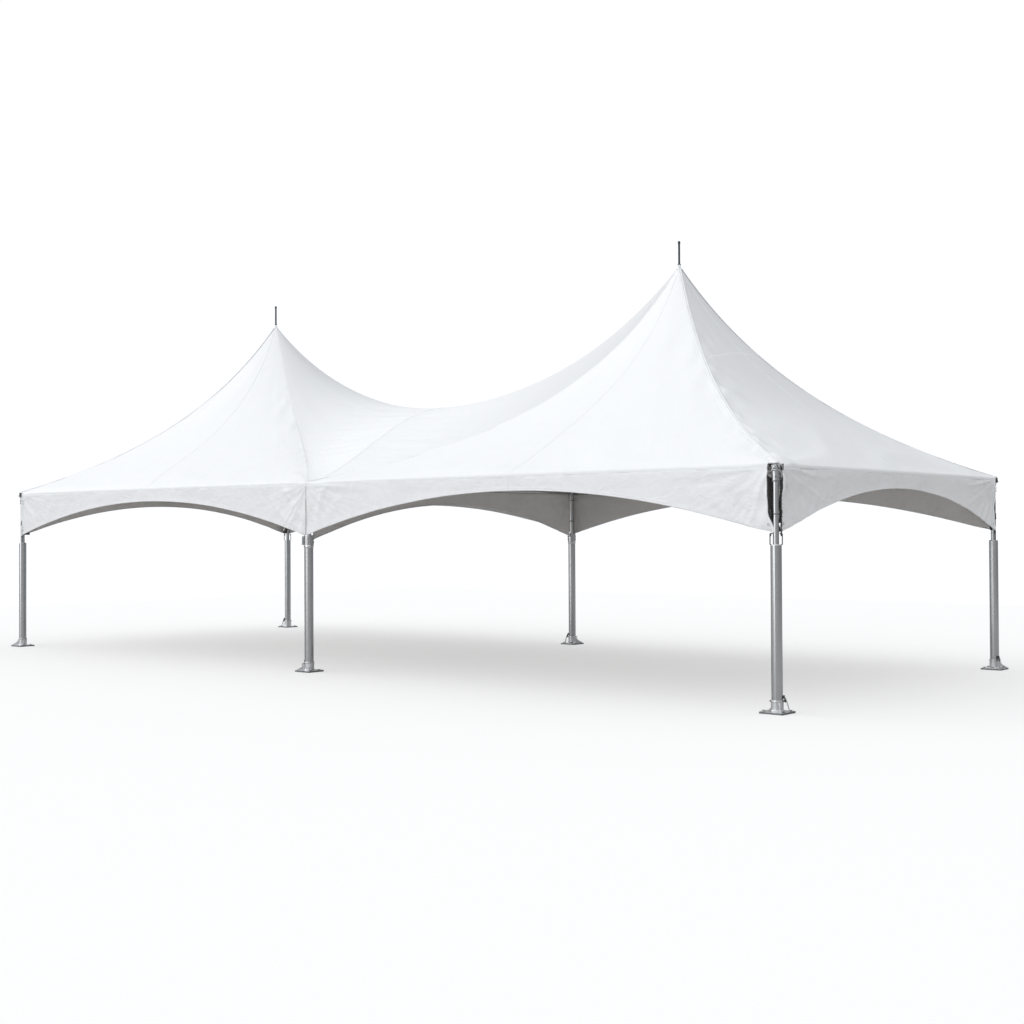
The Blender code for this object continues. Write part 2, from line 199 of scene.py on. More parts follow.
class Finish(Graph):
    """A material with its Principled shader; its patterns lie on the object's own coordinates."""

    def __init__(self, name, metallic=1.0, specular=0.5):
        self.material = bpy.data.materials.new(name)
        self.material.use_nodes = True
        super().__init__(self.material.node_tree)
        self.shader = self.tree.nodes["Principled BSDF"]
        self.shader.inputs["Metallic"].default_value = metallic
        self.shader.inputs["Specular IOR Level"].default_value = specular
        self.place = self.node("ShaderNodeTexCoord", output="Object")

    def blend(self, factor, first, second):
        return self.node("ShaderNodeMix", {"data_type": "RGBA"}, {0: factor, 6: first, 7: second}, 2)

    def noise(self, scale, detail=3.0, roughness=0.5, lean=0.0, place=None):
        inputs = {"Scale": scale, "Detail": detail, "Roughness": roughness, "Distortion": lean}
        return self.node("ShaderNodeTexNoise", {}, {"Vector": place or self.place, **inputs})

    def drawn_out(self, place, stretch, detail, roughness, lean=0.0, turn=0.0):
        """Noise with its own scale along each axis, turned about Z."""
        inputs = {"Vector": place, "Scale": stretch, "Rotation": (0, 0, turn)}
        return self.noise(1.0, detail, roughness, lean, self.node("ShaderNodeMapping", {}, inputs))

    def bands(self, scale, direction, place=None):
        settings = {"wave_type": "BANDS", "bands_direction": direction}
        return self.node("ShaderNodeTexWave", settings, {"Vector": place or self.place, "Scale": scale})

    def weave(self):
        """The basket of warp and weft under a coating."""
        return (self.bands(130.0, "X") + self.bands(130.0, "Y") + self.bands(130.0, "Z")) / 3.0

    def surface(self, colour, roughness, *bumps):
        """Feeds the shader; each bump is a height and its distance, laid over the one before."""
        normal = None
        for height, distance in bumps:
            inputs = {"Height": height, "Distance": distance, "Strength": 1.0}
            if normal is not None:
                inputs["Normal"] = normal
            normal = self.node("ShaderNodeBump", {}, inputs)
        for name, value in (("Base Color", colour), ("Roughness", roughness), ("Normal", normal)):
            self.feed(self.shader.inputs[name], value)
        return self.material


# Finishes

def tone(*colour):
    """A colour with its alpha; one number gives a neutral grey."""
    return (*(colour * 3 if len(colour) == 1 else colour), 1.0)


def darker(colour, share):
    return tone(*(share * c for c in colour[:3]))


def roof_cloth_finish(name, clean, soiled, gloss):
    """Coated cloth: creases run from the peak to the eave, and the inner and end faces carry painted shade,
    darker towards the peak.
    """
    cloth = Finish(name, 0.0, 0.42)
    run = cloth.node("ShaderNodeUVMap", {"uv_map": "run"})
    over, down = cloth.part(run, 0), cloth.part(run, 1)
    specks = cloth.noise(9.0, 5.0, 0.65)
    streaks = cloth.drawn_out(run, (46.0, 2.2, 1.0), 3.0, 0.55)
    soil = (cloth.noise(0.55, 4.0, 0.6) * 0.6 + specks * 0.25 + streaks * 0.3).step(0.42, 0.86)
    lap = over.math("FLOORED_MODULO", 4.0)
    inner = lap.math("GREATER_THAN", 3.0)
    end = lap.math("GREATER_THAN", 1.0) * lap.math("LESS_THAN", 2.0)
    # painted shade: the inner faces, and more faintly the end faces, are darkened towards the peak, down to 0.8
    # of the clean tone
    inner_face_shade = inner * (1 - over.math("GREATER_THAN", 4.5) * 0.15) * (1 - down.step(0.15, 0.90))
    peak_shade = inner_face_shade + end * (1 - down.step(0.40, 0.80)) * 0.55
    creased = cloth.drawn_out(run, (120.0, 3.0, 1.0), 2.0, 0.5, 0.3)
    gathers = cloth.drawn_out(cloth.place, (0.5, 8.0, 8.0), 3.0, 0.55)
    return cloth.surface(
        cloth.blend(peak_shade, cloth.blend(soil, clean, soiled), darker(clean, 0.80)),
        gloss + specks * 0.12 + soil * 0.1,
        (creased * down, 0.004), (cloth.noise(1.7, 2.0, 0.5, 0.4), 0.006),
        (gathers * inner * down.step(0.30, 0.80), 0.030), (cloth.weave(), 0.00012),
    )


def valance_cloth_finish(name, clean, soiled, gloss):
    """Coated cloth that hangs: soft creases lean down from the eave."""
    cloth = Finish(name, 0.0, 0.42)
    run = cloth.node("ShaderNodeUVMap", {"uv_map": "run"})
    specks = cloth.noise(11.0, 5.0, 0.65)
    soil = (cloth.noise(1.3, 4.0, 0.6) * 0.7 + specks * 0.4).step(0.45, 0.85)
    hanging = cloth.drawn_out(run, (3.2, 1.4, 1.0), 2.0, 0.5, 0.5)
    crushed = cloth.drawn_out(run, (5.0, 9.0, 1.0), 2.0, 0.5, 0.6, 0.7)
    ridge = 1 - ((crushed - 0.5) * 6.0).math("ABSOLUTE", clamp=True)
    finer = cloth.drawn_out(run, (16.0, 12.0, 1.0), 3.0, 0.5, 0.5, -0.5)
    bumps = (hanging, 0.022), (ridge, 0.002), (finer, 0.003), (cloth.weave(), 0.00012)
    return cloth.surface(cloth.blend(soil, clean, soiled), gloss + specks * 0.12, *bumps)


def webbing_finish(name, colour, worn):
    """Woven strap: fine ribs across it."""
    strap = Finish(name, 0.0, 0.3)
    wear = strap.noise(30.0, 4.0).step(0.4, 0.75)
    return strap.surface(strap.blend(wear, colour, worn), 0.72 + wear * 0.1, (strap.bands(70.0, "Z"), 0.0006))


def welt_finish(name, clean, soiled):
    """Welded and sewn edging: a smooth coat with puckers and needle holes."""
    welt = Finish(name, 0.0, 0.45)
    grime = welt.noise(6.0, 4.0, 0.6).step(0.45, 0.8)
    bumps = (welt.noise(22.0, 2.0, 0.5, 0.4), 0.003), (welt.noise(140.0, 1.0, 0.4), 0.0005)
    return welt.surface(welt.blend(grime, clean, soiled), 0.42 + grime * 0.15, *bumps)


def drawn_tube_finish(name, grain, colour=(0.545, 0.549, 0.553), dull=0.21):
    """Satin aluminium with drawing lines along the tube; grain stretches them along one axis."""
    tube = Finish(name)
    lines = tube.drawn_out(tube.place, grain, 4.0, 0.65)
    scuffs = tube.noise(26.0, 5.0, 0.7, 0.8).step(0.62, 0.74)
    dulled = tube.noise(3.5, 4.0, 0.6).step(0.3, 0.75)
    shade = tube.blend(dulled * 0.35 + scuffs * 0.12, tone(*colour), darker(colour, 0.80))
    return tube.surface(shade, dull + lines * 0.06 + scuffs * 0.04, (lines, 0.00007))


def cast_finish(name, colour, metallic, rough, pits):
    """A cast or forged surface: grain, small pits and dirt in the hollows."""
    cast = Finish(name, metallic)
    grain = cast.noise(160.0, 3.0, 0.6)
    hollows = cast.noise(34.0, 4.0, 0.6)
    dirt = hollows.step(0.48, 0.72)
    shade = cast.blend(dirt, tone(*colour), darker(colour, 0.55))
    return cast.surface(shade, rough + dirt * 0.2 + grain * 0.08, (hollows, pits), (grain, 0.0003))


def foot_finish(name, colour):
    """The cast foot: pale, with dirt in its hollows and painted shade along the plate's rim."""
    foot = Finish(name)
    hollows = foot.noise(34.0, 4.0, 0.6)
    # painted shade: the plate's edge and underside, everything below its top, are darkened to about a fifth of
    # the tone; the mask below mixes this with real dirt in the hollows
    rim = 1 - foot.part(foot.place, 2).step(PLATE_THICK - 0.002, PLATE_THICK - 0.0005)
    dirt = (hollows.step(0.5, 0.75) * 0.35 + rim * 0.85).math("MINIMUM", 1.0)
    shade = foot.blend(dirt, tone(*colour), darker(colour, 0.22))
    return foot.surface(shade, 0.34 + dirt * 0.2, (hollows, 0.0006))


def zinc_finish(name, colour, flake):
    """Galvanised steel with its flakes of zinc."""
    zinc = Finish(name)
    flakes = zinc.node("ShaderNodeTexVoronoi", {}, {"Vector": zinc.place, "Scale": flake})
    worn = zinc.noise(45.0, 4.0, 0.6).step(0.5, 0.75)
    shade = zinc.blend(flakes.step(0.1, 0.6), tone(*colour), darker(colour, 0.7))
    shade = zinc.blend(worn * 0.6, shade, tone(0.16, 0.15, 0.14))
    return zinc.surface(shade, 0.34 + worn * 0.25, (flakes, 0.0003))


def wire_rope_finish(name):
    """Steel strands, seen as close slanted ridges."""
    rope = Finish(name)
    slanted = rope.node("ShaderNodeMapping", {}, {"Vector": rope.place, "Rotation": (0.6, 0.5, 0.4)})
    grease = rope.noise(20.0).step(0.4, 0.7)
    shade = rope.blend(grease, tone(0.36), tone(0.16))
    return rope.surface(shade, 0.35 + grease * 0.2, (rope.bands(45.0, "DIAGONAL", slanted), 0.0012))


INSIDE_TONES = tone(0.800, 0.775, 0.750), tone(0.700, 0.676, 0.652)
FINISH = {
    "roof": roof_cloth_finish("roof_white_coated", tone(0.884, 0.888, 0.894), tone(0.855, 0.858, 0.863), 0.40),
    "roof_inside": roof_cloth_finish("roof_grey_inside", *INSIDE_TONES, 0.62),
    "valance": valance_cloth_finish(
        "valance_white_coated", tone(0.858, 0.862, 0.868), tone(0.815, 0.818, 0.823), 0.40
    ),
    "valance_inside": valance_cloth_finish("valance_grey_inside", *INSIDE_TONES, 0.62),
    "seam": welt_finish("white_seam", tone(0.845, 0.848, 0.853), tone(0.79, 0.792, 0.795)),
    "welt": welt_finish("white_welt", tone(0.865, 0.867, 0.872), tone(0.80)),
    "rope": welt_finish("white_edge_rope", tone(0.94, 0.94, 0.945), tone(0.88)),
    "piping": welt_finish("white_piping", tone(0.80), tone(0.68, 0.675, 0.67)),
    "tube_z": drawn_tube_finish("drawn_tube_upright", (260.0, 260.0, 3.0)),
    "tube_x": drawn_tube_finish("drawn_tube_along", (3.0, 260.0, 260.0)),
    "tube_y": drawn_tube_finish("drawn_tube_across", (260.0, 3.0, 260.0)),
    "collar": drawn_tube_finish("turned_collar", (60.0, 60.0, 500.0), (0.74, 0.75, 0.76), 0.18),
    # the sleeve rings are given a dark grey tone
    "ring": drawn_tube_finish("worn_ring", (60.0, 60.0, 500.0), (0.26, 0.26, 0.27), 0.30),
    "spike": drawn_tube_finish("dark_spike", (200.0, 200.0, 5.0), (0.085, 0.085, 0.09), 0.40),
    # painted shade: near-black webbing for the flaps in the corner slits and the cups round the corner knuckles,
    # which stand for shade
    "lining": webbing_finish("dark_lining", tone(0.11, 0.105, 0.10), tone(0.07, 0.067, 0.064)),
    # painted shade: the grey joint strip stands for the shadow line where two valances meet
    "joint": webbing_finish("grey_joint", tone(0.34, 0.34, 0.345), tone(0.26)),
    "pale_strap": webbing_finish("pale_webbing", tone(0.55), tone(0.42)),
    "foot": foot_finish("cast_foot", (0.72, 0.73, 0.74)),
    "bright_cast": cast_finish("bright_cast_socket", (0.66, 0.67, 0.68), 1.0, 0.26, 0.0006),
    "knuckle": cast_finish("grey_knuckle", (0.58, 0.58, 0.59), 0.9, 0.30, 0.0004),
    "dark_steel": cast_finish("dark_steel_fitting", (0.10, 0.10, 0.105), 0.9, 0.38, 0.0003),
    "zinc": zinc_finish("zinc_fitting", (0.62, 0.63, 0.64), 90.0),
    "rod": zinc_finish("dull_zinc_rod", (0.24, 0.24, 0.25), 90.0),
    "bolt": zinc_finish("zinc_bolt", (0.50, 0.50, 0.50), 160.0),
    "wire": wire_rope_finish("wire_rope"),
}
NODE_FINISH = {
    "foot": "foot", "leg": "tube_z", "crown": "tube_z", "mast": "tube_z", "spike": "spike", "cable": "wire",
    "eave_front": "tube_x", "eave_back": "tube_x", "eave": "tube_y", "roof": "valance", "valance": "valance",
}


def finish_nodes():
    """Gives the frame's own solids their finishes."""
    for name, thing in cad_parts.items():
        finish = next(finish for start, finish in NODE_FINISH.items() if name.startswith(start))
        for slot in thing.material_slots:
            slot.material = FINISH[finish]


# Making and keeping pieces

def keep_piece(thing):
    """Puts a finished piece on the tent's one body."""
    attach(thing, "root")
    return thing


def add_object(name, data):
    thing = bpy.data.objects.new(name, data)
    bpy.context.scene.collection.objects.link(thing)
    return thing


def object_from(name, bm, finishes, smooth_degrees=180):
    mesh = bpy.data.meshes.new(name)
    bm.to_mesh(mesh)
    bm.free()
    for finish in finishes:
        mesh.materials.append(FINISH[finish])
    mesh.shade_smooth()
    if smooth_degrees < 180:
        mesh.set_sharp_from_angle(angle=math.radians(smooth_degrees))
    return add_object(name, mesh)


def keep_shape(name, bm, finish, smooth_degrees=35):
    """Turns a closed shape's faces outwards and keeps it."""
    bmesh.ops.recalc_face_normals(bm, faces=bm.faces)
    return keep_piece(object_from(name, bm, (finish,), smooth_degrees))


def apply_modifiers(thing):
    """Turns the evaluated result into the object's plain mesh."""
    bpy.context.view_layer.update()
    result = thing.evaluated_get(bpy.context.evaluated_depsgraph_get())
    mesh = bpy.data.meshes.new_from_object(result)
    mesh.name = thing.name
    thing.modifiers.clear()
    thing.data = mesh


def give_wall(thing, thickness, offset):
    """Gives a sheet its thickness; its second side takes its last finish."""
    wall = thing.modifiers.new("wall", "SOLIDIFY")
    wall.thickness = thickness
    wall.offset = offset
    wall.material_offset = len(thing.data.materials) - 1
    apply_modifiers(thing)
    return thing


def turned(bm, profile, segments, centre, axis=(0, 0, 1)):
    """Adds a ring of (radius, height) points spun round an axis through centre."""
    place = Matrix.Translation(centre) @ Vector(axis).to_track_quat("Z", "Y").to_matrix().to_4x4()
    angles = [2 * math.pi * k / segments for k in range(segments)]
    rings = [
        [bm.verts.new(place @ Vector((r * math.cos(a), r * math.sin(a), h))) for a in (angles if r else [0.0])]
        for r, h in profile
    ]
    pairs = list(zip(rings, rings[1:]))
    if profile[0][0] != 0:
        pairs.append((rings[-1], rings[0]))
    for low, high in pairs:
        for k in range(segments):
            after = (k + 1) % segments
            corners = [low[k % len(low)], low[after % len(low)], high[after % len(high)], high[k % len(high)]]
            bm.faces.new([v for i, v in enumerate(corners) if v not in corners[:i]])


def keep_turned(name, finish, profiles, sides, centre, smooth_degrees=45):
    """Keeps rings that are turned about one upright axis as a piece."""
    bm = bmesh.new()
    for profile in profiles:
        turned(bm, profile, sides, centre)
    keep_shape(name, bm, finish, smooth_degrees)


def block(bm, centre, size, turn=0.0, bevel=0.0015):
    """Adds a box with rounded edges, turned about Z."""
    made = bmesh.ops.create_cube(bm, size=1.0)["verts"]
    bmesh.ops.scale(bm, vec=size, verts=made)
    edges = list({e for v in made for e in v.link_edges})
    rounded = bmesh.ops.bevel(bm, geom=edges, offset=bevel, segments=2, affect="EDGES", profile=0.6)
    verts = {v for f in rounded["faces"] for v in f.verts} | {v for v in made if v.is_valid}
    place = Matrix.Translation(centre) @ Matrix.Rotation(turn, 4, "Z")
    bmesh.ops.transform(bm, matrix=place, verts=list(verts))


def unit(rows):
    return rows / np.linalg.norm(rows, axis=1)[:, None]


def swept(bm, points, normals, profile):
    """Adds a closed bar along a path; profile holds (across, out) points on the path's surface."""
    points = np.asarray(points, float)
    tangents = unit(np.gradient(points, axis=0))
    across = unit(np.cross(tangents, np.asarray(normals, float)))
    out = np.cross(across, tangents)
    rings = [[bm.verts.new(p + a * w + n * h) for w, h in profile] for p, a, n in zip(points, across, out)]
    for low, high in zip(rings, rings[1:]):
        for k in range(len(profile)):
            after = (k + 1) % len(profile)
            bm.faces.new((low[k], low[after], high[after], high[k]))
    bm.faces.new(rings[0][::-1])
    bm.faces.new(rings[-1])


def scaled(profile, across, out):
    return [(w * across, h * out) for w, h in profile]


DOWN_FIRST = ((0, 0), (1, 0), (1, 1), (0, 1))
ALONG_FIRST = ((0, 0), (0, 1), (1, 1), (1, 0))


def join_rows(bm, rows, corners, run_at=None):
    """Joins rows of points with quads; run_at gives the cloth's own coordinates at a row and column."""
    run = run_at and (bm.loops.layers.uv.get("run") or bm.loops.layers.uv.new("run"))
    verts = [[bm.verts.new(p) for p in row] for row in rows]
    for i in range(len(verts) - 1):
        for j in range(len(verts[0]) - 1):
            quad = [(i + down, j + along) for down, along in corners]
            face = bm.faces.new([verts[p][q] for p, q in quad])
            if run_at:
                for loop, place in zip(face.loops, quad):
                    loop[run].uv = run_at(*place)


# Geometry node trees

def start_tree(name, sizes):
    """A geometry tree with a named input for each size."""
    tree = bpy.data.node_groups.new(name, "GeometryNodeTree")
    for label, way, kind in (
        ("Geometry", "INPUT", "Geometry"), ("Geometry", "OUTPUT", "Geometry"), ("Material", "INPUT", "Material"),
        *((size, "INPUT", "Int" if size == "Sides" else "Float") for size in sizes),
    ):
        tree.interface.new_socket(label, in_out=way, socket_type=f"NodeSocket{kind}")
    graph = Graph(tree)
    inlet = tree.nodes.new("NodeGroupInput")
    return graph, {socket.name: Wire(graph, socket) for socket in inlet.outputs if socket.name}


def end_tree(graph, geometry, material):
    plain = graph.node("GeometryNodeRealizeInstances", {}, {"Geometry": geometry})
    smooth = graph.node("GeometryNodeSetShadeSmooth", {}, {"Geometry": plain})
    coated = graph.node("GeometryNodeSetMaterial", {}, {"Geometry": smooth, "Material": material})
    graph.feed(graph.tree.nodes.new("NodeGroupOutput").inputs["Geometry"], coated)
    return graph.tree


def circle(graph, radius, sides):
    return graph.node("GeometryNodeCurvePrimitiveCircle", {}, {"Radius": radius, "Resolution": sides})


def tube_tree():
    """A tube along each chain of edges."""
    graph, wires = start_tree("tube_along_path", ("Radius", "Sides"))
    path = graph.node("GeometryNodeMeshToCurve", {}, {"Mesh": wires["Geometry"]})
    inputs = {"Curve": path, "Profile Curve": circle(graph, wires["Radius"], wires["Sides"]), "Fill Caps": True}
    return end_tree(graph, graph.node("GeometryNodeCurveToMesh", {}, inputs), wires["Material"])


def repeat_tree(name, make_shape):
    """One shape at each vertex, its Z along the vertex's facing attribute."""
    graph, wires = start_tree(name, ("Width", "Height"))
    facing = graph.node("GeometryNodeInputNamedAttribute", {"data_type": "FLOAT_VECTOR"}, {"Name": "facing"})
    turn = graph.node("FunctionNodeAlignRotationToVector", {"axis": "Z"}, {"Vector": facing})
    inputs = {"Points": wires["Geometry"], "Instance": make_shape(graph, wires), "Rotation": turn}
    return end_tree(graph, graph.node("GeometryNodeInstanceOnPoints", {}, inputs), wires["Material"])


def bolt_shape(graph, wires):
    """A hexagon head with its washer under it."""
    parts = []
    for sides, width, depth, lift in ((14, 0.82, 0.25, 0.0), (6, 0.55, 1.0, 0.5)):
        inputs = {"Vertices": sides, "Radius": wires["Width"] * width, "Depth": wires["Height"] * depth}
        shape = graph.node("GeometryNodeMeshCylinder", {}, inputs)
        offset = graph.node("ShaderNodeCombineXYZ", {}, {2: wires["Height"] * lift})
        parts.append(graph.node("GeometryNodeTransform", {}, {"Geometry": shape, "Translation": offset}))
    return graph.node("GeometryNodeJoinGeometry", {}, {0: parts})


def eyelet_shape(graph, wires):
    """A rolled metal ring."""
    ring, rim = circle(graph, wires["Width"] * 0.5, 18), circle(graph, wires["Height"] * 0.5, 8)
    return graph.node("GeometryNodeCurveToMesh", {}, {"Curve": ring, "Profile Curve": rim})


def chain_tree():
    """Chain links along a path, each turned a quarter against the last."""
    graph, wires = start_tree("chain_along_path", ("Link", "Wire"))
    path = graph.node("GeometryNodeMeshToCurve", {}, {"Mesh": wires["Geometry"]})
    spaced = {"Curve": path, "Length": wires["Link"] * 0.62}
    points = graph.node("GeometryNodeCurveToPoints", {"mode": "LENGTH"}, spaced)
    along = Wire(graph, points.socket.node.outputs["Rotation"])
    quarters = graph.node("GeometryNodeInputIndex") * (math.pi / 2)
    quarter = graph.node("FunctionNodeAxisAngleToRotation", {}, {"Axis": (0, 0, 1), "Angle": quarters})
    turn = graph.node("FunctionNodeRotateRotation", {"rotation_space": "LOCAL"}, {0: along, 1: quarter})
    ring, rim = circle(graph, wires["Link"] * 0.5, 12), circle(graph, wires["Wire"] * 0.5, 6)
    oval = {"Geometry": ring, "Scale": (0.55, 1, 1), "Rotation": (math.pi / 2, 0, 0)}
    ring = graph.node("GeometryNodeTransform", {}, oval)
    link = graph.node("GeometryNodeCurveToMesh", {}, {"Curve": ring, "Profile Curve": rim})
    inputs = {"Points": points, "Instance": link, "Rotation": turn}
    return end_tree(graph, graph.node("GeometryNodeInstanceOnPoints", {}, inputs), wires["Material"])


TREES = {
    "tube": tube_tree(),
    "bolts": repeat_tree("bolts_at_points", bolt_shape),
    "eyelets": repeat_tree("eyelets_at_points", eyelet_shape),
    "chain": chain_tree(),
}


def grow(name, mesh, tree_name, finish, sizes):
    """Runs a geometry tree on a mesh of points or paths and keeps the plain result."""
    tree = TREES[tree_name]
    thing = add_object(name, mesh)
    modifier = thing.modifiers.new(tree.name, "NODES")
    modifier.node_group = tree
    values = dict(sizes, Material=FINISH[finish])
    for item in tree.interface.items_tree:
        if item.in_out == "INPUT" and item.name in values:
            modifier[item.identifier] = values[item.name]
    apply_modifiers(thing)
    if not thing.data.materials:
        thing.data.materials.append(FINISH[finish])
    thing.data.set_sharp_from_angle(angle=math.radians(40))
    return keep_piece(thing)


def chains_mesh(name, chains):
    """Edges along each chain of points."""
    verts, edges = [], []
    for chain in chains:
        edges.extend((len(verts) + k, len(verts) + k + 1) for k in range(len(chain) - 1))
        verts.extend(tuple(p) for p in chain)
    mesh = bpy.data.meshes.new(name)
    mesh.from_pydata(verts, edges, [])
    return mesh


def tubes(name, chains, radius, finish, sides=8):
    return grow(name, chains_mesh(name, chains), "tube", finish, {"Radius": radius, "Sides": sides})


def repeats(name, tree_name, places, width, height):
    """One bolt or eyelet at each (point, facing)."""
    mesh = bpy.data.meshes.new(name)
    mesh.from_pydata([tuple(p) for p, _ in places], [], [])
    facing = mesh.attributes.new("facing", "FLOAT_VECTOR", "POINT")
    facing.data.foreach_set("vector", [c for _, n in places for c in n])
    return grow(name, mesh, tree_name, "bolt", {"Width": width, "Height": height})


# Roof cloth

def smooth_step(x):
    x = np.clip(x, 0.0, 1.0)
    return x * x * (3 - 2 * x)


def soft_noise(*grids):
    """Gradient noise over two or three arrays, about -1 to 1."""
    grids = np.broadcast_arrays(*grids, 0.0)[:3]
    values = [noise.noise(Vector(p)) for p in zip(*(g.ravel() for g in grids))]
    return np.array(values).reshape(grids[0].shape)


def creases(*grids):
    """Noise with sharp crests, 0 in the flats and 1 on a crease."""
    return np.clip(1 - 3.2 * np.abs(soft_noise(*grids)), 0, 1)


def arch(t):
    return 4 * t * (1 - t)


FANS = {
    "front": ((HALF_LENGTH, -HALF_DEPTH), (0.0, -HALF_DEPTH), (0, -1)),
    "end": ((HALF_LENGTH, -HALF_DEPTH), (HALF_LENGTH, HALF_DEPTH), (1, 0)),
    "back": ((HALF_LENGTH, HALF_DEPTH), (0.0, HALF_DEPTH), (0, 1)),
    "inner": ((0.0, -HALF_DEPTH), (0.0, HALF_DEPTH), None),
}
FAN_SEED = {"front": 3.1, "end": 11.7, "back": 23.9, "inner": 37.3}


def fan_span(fan):
    a, b = FANS[fan][:2]
    return math.hypot(a[0] - b[0], a[1] - b[1])


def hip_share(s, curve):
    return (1 - s) / (1 + curve * s)


def smooth_height(fan, s, t):
    """The roof's height without its folds."""
    if fan == "inner":
        power = VALLEY_POWER_AT_PEAK + (VALLEY_POWER_AT_SADDLE - VALLEY_POWER_AT_PEAK) * s
        middle = arch(t) ** power
        ridge = SADDLE_SHARE + (1 - SADDLE_SHARE) * (1 - s) ** 2 / (1 + RIDGE_CURVE * s)
        return EAVE_HEIGHT + RISE * ((1 - middle) * hip_share(s, INNER_HIP_CURVE) + middle * ridge)
    far_curve = OUTER_HIP_CURVE if fan == "end" else INNER_HIP_CURVE
    curve = OUTER_HIP_CURVE + (far_curve - OUTER_HIP_CURVE) * t
    return EAVE_HEIGHT + RISE * hip_share(s, curve) + FACE_RISE * arch(s) * arch(t)


def roof_folds(fan, side, s, t):
    """How far the cloth stands off its smooth form: streaks, puckers at the hips, eave folds."""
    seed = FAN_SEED[fan] + 5.3 * side
    width = s * fan_span(fan)
    from_hip = np.minimum(t, 1 - t) * width
    clear = smooth_step(from_hip / 0.10)
    streak = soft_noise(t * 13 + seed, s * 1.7, seed) + 0.5 * soft_noise(t * 27 + seed, s * 2.3, 2 * seed)
    upper = smooth_step((s - 0.05) / 0.10) * (1 - smooth_step((s - 0.30) / 0.45))
    folds = streak * (0.035 if fan == "inner" else 0.026) * width * 0.12 * upper * clear
    near = np.exp(-((from_hip - 0.12) / 0.24) ** 2)
    slip = s * 17 - from_hip * 5.0
    pucker = soft_noise(slip + seed, t * 3, seed) * 0.8
    pucker = pucker + soft_noise(slip * 1.8, from_hip * 6 + seed, seed) * 0.40
    strength = {"end": 0.056 - 0.040 * smooth_step((t - 0.35) / 0.25), "front": 0.034}.get(fan, 0.010)
    folds = folds + strength * pucker * near * clear * smooth_step((s - 0.12) / 0.2)
    if fan != "inner":
        low = smooth_step((s - 0.60) / 0.36) * (1 - smooth_step((s - 0.965) / 0.03))
        wave = soft_noise(t * 5.0 + seed, s * 1.5, seed) * 0.030
        wave = wave + (creases(t * 4.5 + s * 2.0 + seed, s * 3.0 - t * 2.0, seed) - 0.3) * 0.026
        folds = folds + wave * low * clear
    broad = soft_noise(t * 2.6 + seed, s * 2.2, seed) * 0.012 * arch(np.clip(s, 0, 1))
    return folds + broad * smooth_step(from_hip / 0.5)


def roof_surface(fan, side, s, t):
    """Points on the roof's outer face at the shares s, down from the peak, and t, across the fan."""
    s, t = np.broadcast_arrays(np.asarray(s, float), np.asarray(t, float))
    a, b, _ = FANS[fan]
    x = PEAK_X + s * (a[0] * (1 - t) + b[0] * t - PEAK_X)
    y = s * (a[1] * (1 - t) + b[1] * t)
    for corner, near in ((a, 1 - t), (b, t)):
        if corner[0] == 0:
            reach = HIP_BOW * arch(s) * near * near
            x = x - HIP_BOW_WAY[0] * reach
            y = y - HIP_BOW_WAY[1] * reach * np.sign(corner[1])
    return np.stack([side * x, y, smooth_height(fan, s, t) + roof_folds(fan, side, s, t)], axis=-1)


def columns_of(fan):
    """Shares across a fan, close together at the corner slits."""
    slit_side = (CORNER_SLIT - 0.0005, CORNER_SLIT + 0.0005)
    near = np.array([0.0, 0.034, 0.067, 0.081, 0.092, 0.100, 0.106, *slit_side, 0.145, 0.20]) / fan_span(fan)
    far = np.array([0.0, 0.05, 0.12, 0.20]) / fan_span(fan)
    first = far if fan == "inner" else near
    last = near if fan == "end" else far
    middle = np.linspace(first[-1], 1 - last[-1], 46)
    return np.concatenate([first[:-1], middle, 1 - last[-2::-1]])


def lip_cut(from_corner):
    """How much of the lip is there: all of it past the slit, none over the slit's flat top."""
    share = np.clip((from_corner - (CORNER_SLIT - SLIT_ROUNDING)) / SLIT_ROUNDING, 0, 1)
    return 1 - np.sqrt(1 - share ** 2)


def eave_sway(seed, along):
    """The slight waviness of the eave, in metres outwards, still where two sheets meet."""
    wave = soft_noise(along * 2.6 + seed, seed) + 0.6 * soft_noise(along * 6.5, seed)
    still = smooth_step((HALF_LENGTH - CORNER_SLIT - np.abs(along)) / 0.3) * smooth_step(np.abs(along) / 0.2)
    return 0.0055 * wave * still


def lip_rows(fan, side, t, count):
    """The cloth that rolls over the eave tube and hangs as a short lip, one row after another."""
    a, b, outward = FANS[fan]
    outward = np.array([side * outward[0], outward[1], 0.0])
    top = roof_surface(fan, side, ROLL_SHARE, t)
    above = roof_surface(fan, side, ROLL_SHARE - 1e-3, t)
    edge = np.stack([side * (a[0] * (1 - t) + b[0] * t), a[1] * (1 - t) + b[1] * t, 0 * t], axis=-1)
    reach = (edge[:, :2] - top[:, :2]) @ outward[:2]
    slope = np.arctan2(above[:, 2] - top[:, 2], (top[:, :2] - above[:, :2]) @ outward[:2])
    radius = reach / (1 - np.sin(slope))
    centre_z = top[:, 2] - radius * np.cos(slope)
    arc = radius * (math.pi / 2 - slope)
    from_corner = t * fan_span(fan)
    if fan == "end":
        from_corner = np.minimum(from_corner, (1 - t) * fan_span(fan))
    total = (arc + centre_z - LIP_BOTTOM) * lip_cut(from_corner)
    sway = eave_sway(FAN_SEED[fan] + side, edge[:, 1] if fan == "end" else edge[:, 0])
    made = []
    for k in range(1, count + 1):
        path = total * k / count
        angle = slope + np.minimum(path, arc) / radius
        out = radius * (np.sin(angle) - np.sin(slope))
        share = smooth_step(out / np.maximum(reach, 1e-6))
        base = top * (1 - share)[:, None] + edge * share[:, None]
        kept = (base[:, :2] - top[:, :2]) @ outward[:2]
        points = base + outward * (out - kept + sway * share)[:, None]
        points[:, 2] = centre_z + radius * np.cos(angle) - np.maximum(path - arc, 0)
        made.append(points)
    return made


